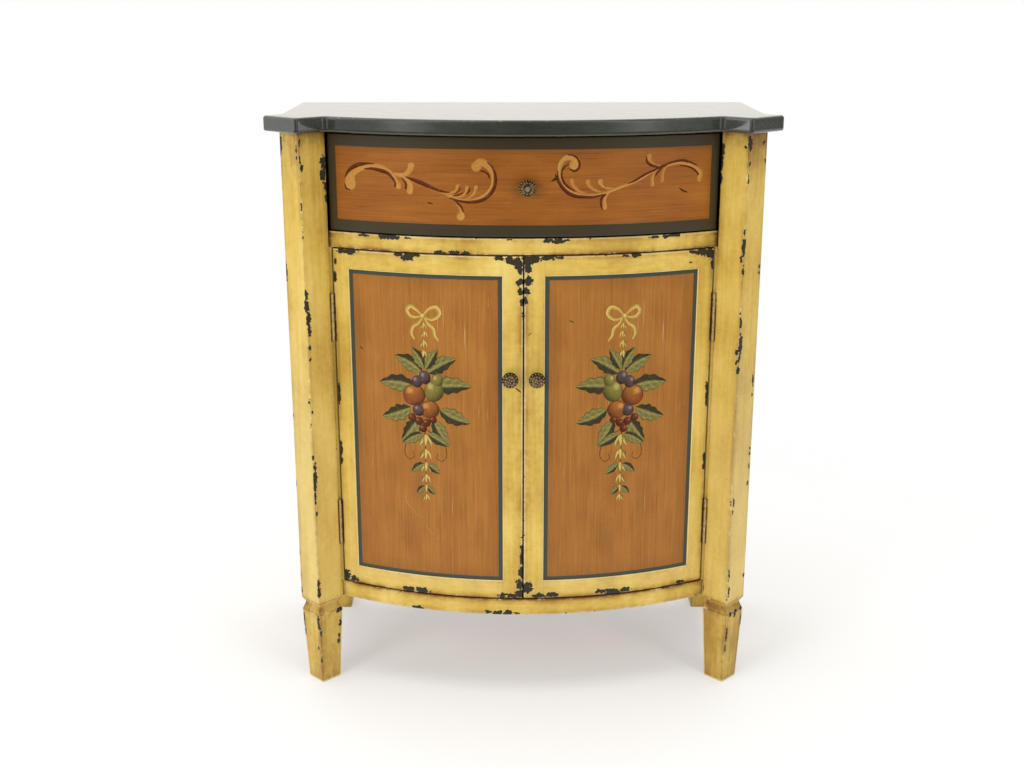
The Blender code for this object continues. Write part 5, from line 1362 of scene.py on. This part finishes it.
# A plain festoon on each door, mirrored: a ribbon bow, a chain of husks, fruit among leaves and a
# trailing spray with a tendril. Places are mm from the middle of the door's panel and from the floor.
festoon = {
    "middle": 148.6,
    "leaf": ("8a8444", "5c5d33", "33331f", "a99a55"), "brown": "4a3518", "rust": "6a421a",
    "gold": "d8b55e", "ochre": "8f7430", "husk": "5d6334",
    "peach": ("58290f", "a56428", "cf9a4c", "7f3a1a"), "pear": ("454018", "85803a", "bfae6a", "7c6a2c"),
    "plum": ("2a1f20", "594848", "978684", "43332f"), "cherry": ("3c170c", "702c18", "a8694a", "5a2212"),
    "ribbon": [
        [(-1, 606, 1.4), (-9, 614, 2.6), (-19, 619, 3.2), (-25, 612, 2.8), (-19, 603, 2.6), (-9, 602, 2.0), (-1, 605, 1.2)],
        [(1, 606, 1.4), (10, 615, 2.6), (20, 618, 3.1), (25, 610, 2.7), (18, 602, 2.5), (9, 601, 2.0), (1, 605, 1.2)],
        [(-1, 603, 1.4), (-8, 594, 2.2), (-16, 588, 2.5), (-19, 578, 2.6), (-15, 570, 1.6)],
        [(1, 603, 1.4), (7, 593, 2.2), (15, 586, 2.5), (17, 576, 2.6), (22, 569, 1.6)]],
    "husks": [(0, 594, 7.5), (1, 582, 8.5), (0, 568, 9.5), (-1, 553, 10.5),
              (0, 423, 17), (0, 400, 15), (0, 379, 13.5), (0, 360, 12), (0, 343, 10.5), (0, 328, 9)],
    "back": [(-4, 520, 48, 25, 150, 30), (6, 519, 50, 25, 30, -30), (-16, 497, 56, 27, 176, 25), (14, 498, 58, 27, 4, -22),
             (-22, 464, 50, 26, 202, -22), (24, 464, 50, 25, -24, 22), (-10, 448, 46, 24, 234, -18), (14, 446, 44, 23, -58, 20)],
    "front": [(0, 526, 36, 19, 120, 20), (3, 525, 36, 19, 60, -20)],
    "fruit": [
        ("pear", (15, 492), (15, 17), -20), ("pear", (20, 508), (8.5, 11), -20), ("peach", (-16, 484), (17.5, 16.5), 0),
        ("plum", (1, 512), (9, 10.5), 10), ("plum", (-11, 505), (8.5, 9.5), -10), ("peach", (8, 463), (15, 14), 0),
        ("plum", (-9, 461), (9.5, 9), 0), ("cherry", (-20, 449), (6, 6), 0), ("cherry", (-9, 444), (6.2, 6.2), 0),
        ("cherry", (3, 442), (6, 6), 0), ("cherry", (-3, 433), (6, 6), 0), ("cherry", (13, 447), (5.4, 5.4), 0)],
    "drop": [(0, 430, 0.9), (0, 398, 0.8), (0, 366, 0.7), (0, 330, 0.5)],
    "tendril": [(4, 430, 0.8), (17, 423, 0.9), (30, 408, 0.8), (33, 392, 0.7), (26, 383, 0.6), (18, 387, 0.6), (20, 395, 0.5)],
    "spray": [(5, 424, 36, 18, -28, -18), (3, 377, 25, 13, -36, -16), (2, 341, 18, 10, -44, -14)]}


def gilt(u, v):
    return between(linear(festoon["ochre"]), linear(festoon["gold"]), 0.75 + v * 0.6 - np.abs(u - 0.5) * 0.6)


def makeFestoon(word, side):
    f = festoon
    shapes = [leafShape(spot[:2], *spot[2:], 0.02 + 0.02 * (k % 4), teeth=4) for k, spot in enumerate(f["back"])]
    # the drop under the fruit is the same on both sides
    shapes.append(brushStroke(f["drop"], twoTone(f["brown"], f["leaf"][1], 0.4, 2), 0.05, 0.1))
    for hand in (-1, 1):
        path = [(hand * x, z, wide) for x, z, wide in f["tendril"]]
        shapes.append(brushStroke(path, twoTone(f["rust"], f["brown"], 0.4, 2), 0.05, 0.08))
        for k, (x, z, length, width, angle, bend) in enumerate(f["spray"]):
            turned = angle if hand > 0 else 180 - angle
            shapes.append(leafShape((hand * x, z), length, width, turned, hand * bend, 0.1 + 0.02 * k, teeth=3))
    for k, path in enumerate(f["ribbon"]):
        shapes.append(brushStroke(path, gilt, 0.04 + 0.03 * k))
    shapes.append(fruitShape((0, 604.5), (3.6, 4), 0, (f["ochre"], f["gold"], "f0dc9c", f["gold"]), 0.2))
    for x, z, tall in f["husks"]:
        for lean in (-0.55, 0.55, 0):
            path = [(x, z, 0.8), (x + lean * tall * 0.55, z - tall * 0.45, tall * 0.2), (x + lean * tall, z - tall, 0.5)]
            pigment = twoTone(f["husk"], f["gold"], 0.0 if lean else -0.4, 2)
            shapes.append(brushStroke(path, pigment, 0.1 if lean else 0.22, 0.14))
    for spot in f["front"]:
        shapes.append(leafShape(spot[:2], *spot[2:], 0.16, teeth=4))
    for k, (kind, place, size, turn) in enumerate(f["fruit"]):
        shapes.append(fruitShape(place, size, turn, f[kind], 0.2 + 0.05 * k))
    placed = [(points - (f["middle"], 0, 0), faces, pigment) for points, faces, pigment in shapes]
    layShapes(f"{word}DoorFestoon", placed, door["panelFace"], f"{word}_door", mirror=-side)


for word, side in (("left", -1), ("right", 1)):
    makeFestoon(word, side)
print("festoons painted")

# A few dents and scratches that break the even surfaces: tone and path for each, in mm as above
marks = {
    "dent": "3c2208", "bruise": "8c5a1c", "scratch": "bd8a4c",
    "drawer": ("drawer", 0.0, [
        ("dent", [(39, 803, 0.8), (46, 806, 2.0), (53, 805, 1.1)]), ("dent", [(48, 800, 0.6), (46, 806, 1.3), (44, 812, 0.6)]),
        ("dent", [(229, 788, 0.6), (235, 784, 1.4), (243, 781, 0.6)]), ("dent", [(-138, 771, 0.5), (-134, 770, 1.1), (-130, 769, 0.5)])]),
    "leftFrame": ("left_door", 0.0, [("dent", [(-11, 501, 0.7), (-7.5, 498, 1.0), (-4, 495, 0.8)])]),
    "rightFrame": ("right_door", 0.0, [("bruise", [(7, 580, 0.5), (9, 582.5, 0.9), (12, 584, 0.5)])]),
    "leftPanel": ("left_door", 1.8 * mm, [
        ("scratch", [(-181, 337, 0.25), (-181, 325, 0.35), (-181, 314, 0.5), (-171, 302, 0.45), (-159, 289, 0.25)]),
        ("scratch", [(-150, 277, 0.25), (-144, 270, 0.5), (-138, 263, 0.4)]), ("scratch", [(-131, 257, 0.6), (-130, 256, 0.6)]),
        ("scratch", [(-66, 474, 0.3), (-66, 464, 0.5), (-66, 453, 0.3)]), ("scratch", [(-51, 634, 0.3), (-51, 622, 0.4)]),
        ("dent", [(-252, 551, 0.5), (-249, 549, 0.9), (-247, 547, 0.5)])]),
    "rightPanel": ("right_door", 1.8 * mm, [("dent", [(67, 601, 0.5), (70, 600, 0.9), (73, 598, 0.5)])])}
for name in ("drawer", "leftFrame", "rightFrame", "leftPanel", "rightPanel"):
    body, face, lines = marks[name]
    shapes = [brushStroke(path, twoTone(marks[tone], marks[tone]), 0.03, rise=0.04) for tone, path in lines]
    layShapes(f"{name}Marks", shapes, face, body)
print("wear marks made")

# Plain studio: a white floor that keeps the cabinet's shadow and runs off to white, a pale world
# that only the camera and the reflections see as full white, and three soft lamps
studio = {
    "floorSize": 14.0, "floor": "f6f6f4", "paleness": 0.34, "fade": (0.55, 1.5), "world": 0.55,
    "around": [(0.0, "b8b6b0"), (0.12, "b4b2ad"), (0.17, "b0b0af"), (0.224, "b6b6b6"), (0.25, "cacaca"), (0.28, "f7f9fb"),
               (0.31, "b2b2b2"), (0.33, "898989"), (0.36, "959595"), (0.387, "eaeaea"), (0.42, "838383"), (0.46, "595959"),
               (0.5, "454545"), (0.54, "595959"), (0.58, "838383"), (0.613, "eaeaea"), (0.64, "8f8f8f"), (0.67, "7f7f7f"),
               (0.72, "666666"), (0.79, "626262"), (0.83, "777777"), (0.9, "b2b1ac"), (1.0, "b8b6b0")],
    "aroundStrength": 2.0, "paperEnd": (-1.7, -0.8), "room": 0.15,
    "lamps": [("keyLamp", (-2.0, -2.4, 1.55), (1.2, 1.5), 31, False), ("fillLamp", (2.2, -2.6, 1.45), (1.0, 1.2), 19, False),
              ("windowLamp", (-2.9, -0.45, 1.45), (0.9, 0.7), 6, False), ("topLamp", (0.0, 0.0, 3.2), (2.6, 2.6), 68, False),
              ("leftStrip", (-2.93, -0.80, 0.80), (0.42, 0.5), 1.3, True), ("rightStrip", (2.93, -0.80, 0.80), (0.42, 0.5), 1.3, True)]}
camera = {"place": (-0.0183, -1.9875, 1.0267), "lens": 45.62, "pitch": 15.85, "yaw": 0.048, "roll": -0.013}


def makeFloor():
    half = studio["floorSize"] / 2
    floor = newPiece("floor", [(-half, -half, 0), (half, -half, 0), (half, half, 0), (-half, half, 0)], [(0, 1, 2, 3)])
    material = bpy.data.materials.new("studioPaper")
    material.use_nodes = True
    tree = material.node_tree
    tree.nodes.clear()
    paper = addNode(tree, "ShaderNodeBsdfDiffuse", {"Color": linear(studio["floor"])})
    glow = addNode(tree, "ShaderNodeEmission", {"Strength": 1.0})
    place = addNode(tree, "ShaderNodeTexCoord").outputs["Object"]
    away = addNode(tree, "ShaderNodeVectorMath", {0: place}, operation="LENGTH").outputs["Value"]
    fade = addNode(tree, "ShaderNodeMapRange", {
        0: away, 1: studio["fade"][0], 2: studio["fade"][1], 3: studio["paleness"], 4: 1.0}, interpolation_type="SMOOTHSTEP")
    ray = addNode(tree, "ShaderNodeLightPath")
    seen = addNode(tree, "ShaderNodeMath", {0: ray.outputs["Is Camera Ray"], 1: ray.outputs["Is Glossy Ray"]},
                   operation="MAXIMUM")
    share = addNode(tree, "ShaderNodeMath", {0: fade, 1: seen}, operation="MULTIPLY")
    # mirrored, the paper ends before the camera
    depth = addNode(tree, "ShaderNodeSeparateXYZ", {0: place}).outputs["Y"]
    ends = addNode(tree, "ShaderNodeMapRange", {
        0: depth, 1: studio["paperEnd"][0], 2: studio["paperEnd"][1], 3: studio["room"], 4: 1.0}, interpolation_type="SMOOTHSTEP")
    strength = addNode(tree, "ShaderNodeMix", {0: ray.outputs["Is Glossy Ray"], 2: 1.0, 3: ends})
    tree.links.new(strength.outputs[0], glow.inputs["Strength"])
    mixed = addNode(tree, "ShaderNodeMixShader", {0: share, 1: paper, 2: glow})
    addNode(tree, "ShaderNodeOutputMaterial", {"Surface": mixed})
    floor.data.materials.append(material)


# Full white to the camera. What mirrors it sees the white backdrop behind, a dim room ahead and a
# soft white panel to either side of the camera, by the turn from straight ahead as a share of a circle.
def makeWorld():
    world = bpy.data.worlds.new("studioWorld")
    world.use_nodes = True
    tree = world.node_tree
    tree.nodes.clear()
    ray = addNode(tree, "ShaderNodeLightPath")
    direction = addNode(tree, "ShaderNodeTexCoord").outputs["Generated"]
    place = addNode(tree, "ShaderNodeSeparateXYZ", {0: direction})
    toCamera = addNode(tree, "ShaderNodeMath", {0: place.outputs["Y"], 1: -1.0}, operation="MULTIPLY")
    angle = addNode(tree, "ShaderNodeMath", {0: place.outputs["X"], 1: toCamera}, operation="ARCTAN2")
    turn = addNode(tree, "ShaderNodeMath", {0: angle, 1: 0.5 / math.pi, 2: 0.5}, operation="MULTIPLY_ADD")
    around = addNode(tree, "ShaderNodeValToRGB", {"Fac": turn}, stops=studio["around"])
    mirrored = addNode(tree, "ShaderNodeVectorMath", {0: around.outputs["Color"], "Scale": studio["aroundStrength"]},
                       operation="SCALE")
    plain = addNode(tree, "ShaderNodeCombineXYZ", {i: studio["world"] for i in range(3)})
    colour = addNode(tree, "ShaderNodeMix", {
        0: ray.outputs["Is Glossy Ray"], 4: plain, 5: mirrored}, data_type="VECTOR")
    seen = addNode(tree, "ShaderNodeMath", {
        0: ray.outputs["Is Camera Ray"], 1: ray.outputs["Is Transmission Ray"]}, operation="MAXIMUM")
    colour = addNode(tree, "ShaderNodeMix", {0: seen, 4: colour, 5: (1, 1, 1)}, data_type="VECTOR")
    sky = addNode(tree, "ShaderNodeBackground", {"Color": colour, "Strength": 1.0})
    addNode(tree, "ShaderNodeOutputWorld", {"Surface": sky})
    bpy.context.scene.world = world


def makeLamps():
    for name, place, size, power, mirrored in studio["lamps"]:
        light = bpy.data.lights.new(name, "AREA")
        light.shape = "RECTANGLE"
        light.size, light.size_y = size
        light.energy = power
        lamp = bpy.data.objects.new(name, light)
        lamp.location = place
        lamp.visible_glossy = mirrored
        lamp.visible_camera = False
        aim = Vector((0, 0, 0.45)) - Vector(place)
        lamp.rotation_euler = aim.to_track_quat("-Z", "Y").to_euler()
        bpy.context.scene.collection.objects.link(lamp)


def makeCamera():
    lens = bpy.data.cameras.new("camera")
    lens.sensor_width = 36
    lens.lens = camera["lens"]
    eye = bpy.data.objects.new("camera", lens)
    turn = (Matrix.Rotation(math.radians(-camera["yaw"]), 4, "Z")
            @ Matrix.Rotation(math.radians(90 - camera["pitch"]), 4, "X")
            @ Matrix.Rotation(math.radians(camera["roll"]), 4, "Z"))
    eye.matrix_world = Matrix.Translation(camera["place"]) @ turn
    bpy.context.scene.collection.objects.link(eye)
    bpy.context.scene.camera = eye


makeFloor()
makeWorld()
makeLamps()
makeCamera()
bpy.context.scene.view_settings.view_transform = "Standard"
print("studio made")
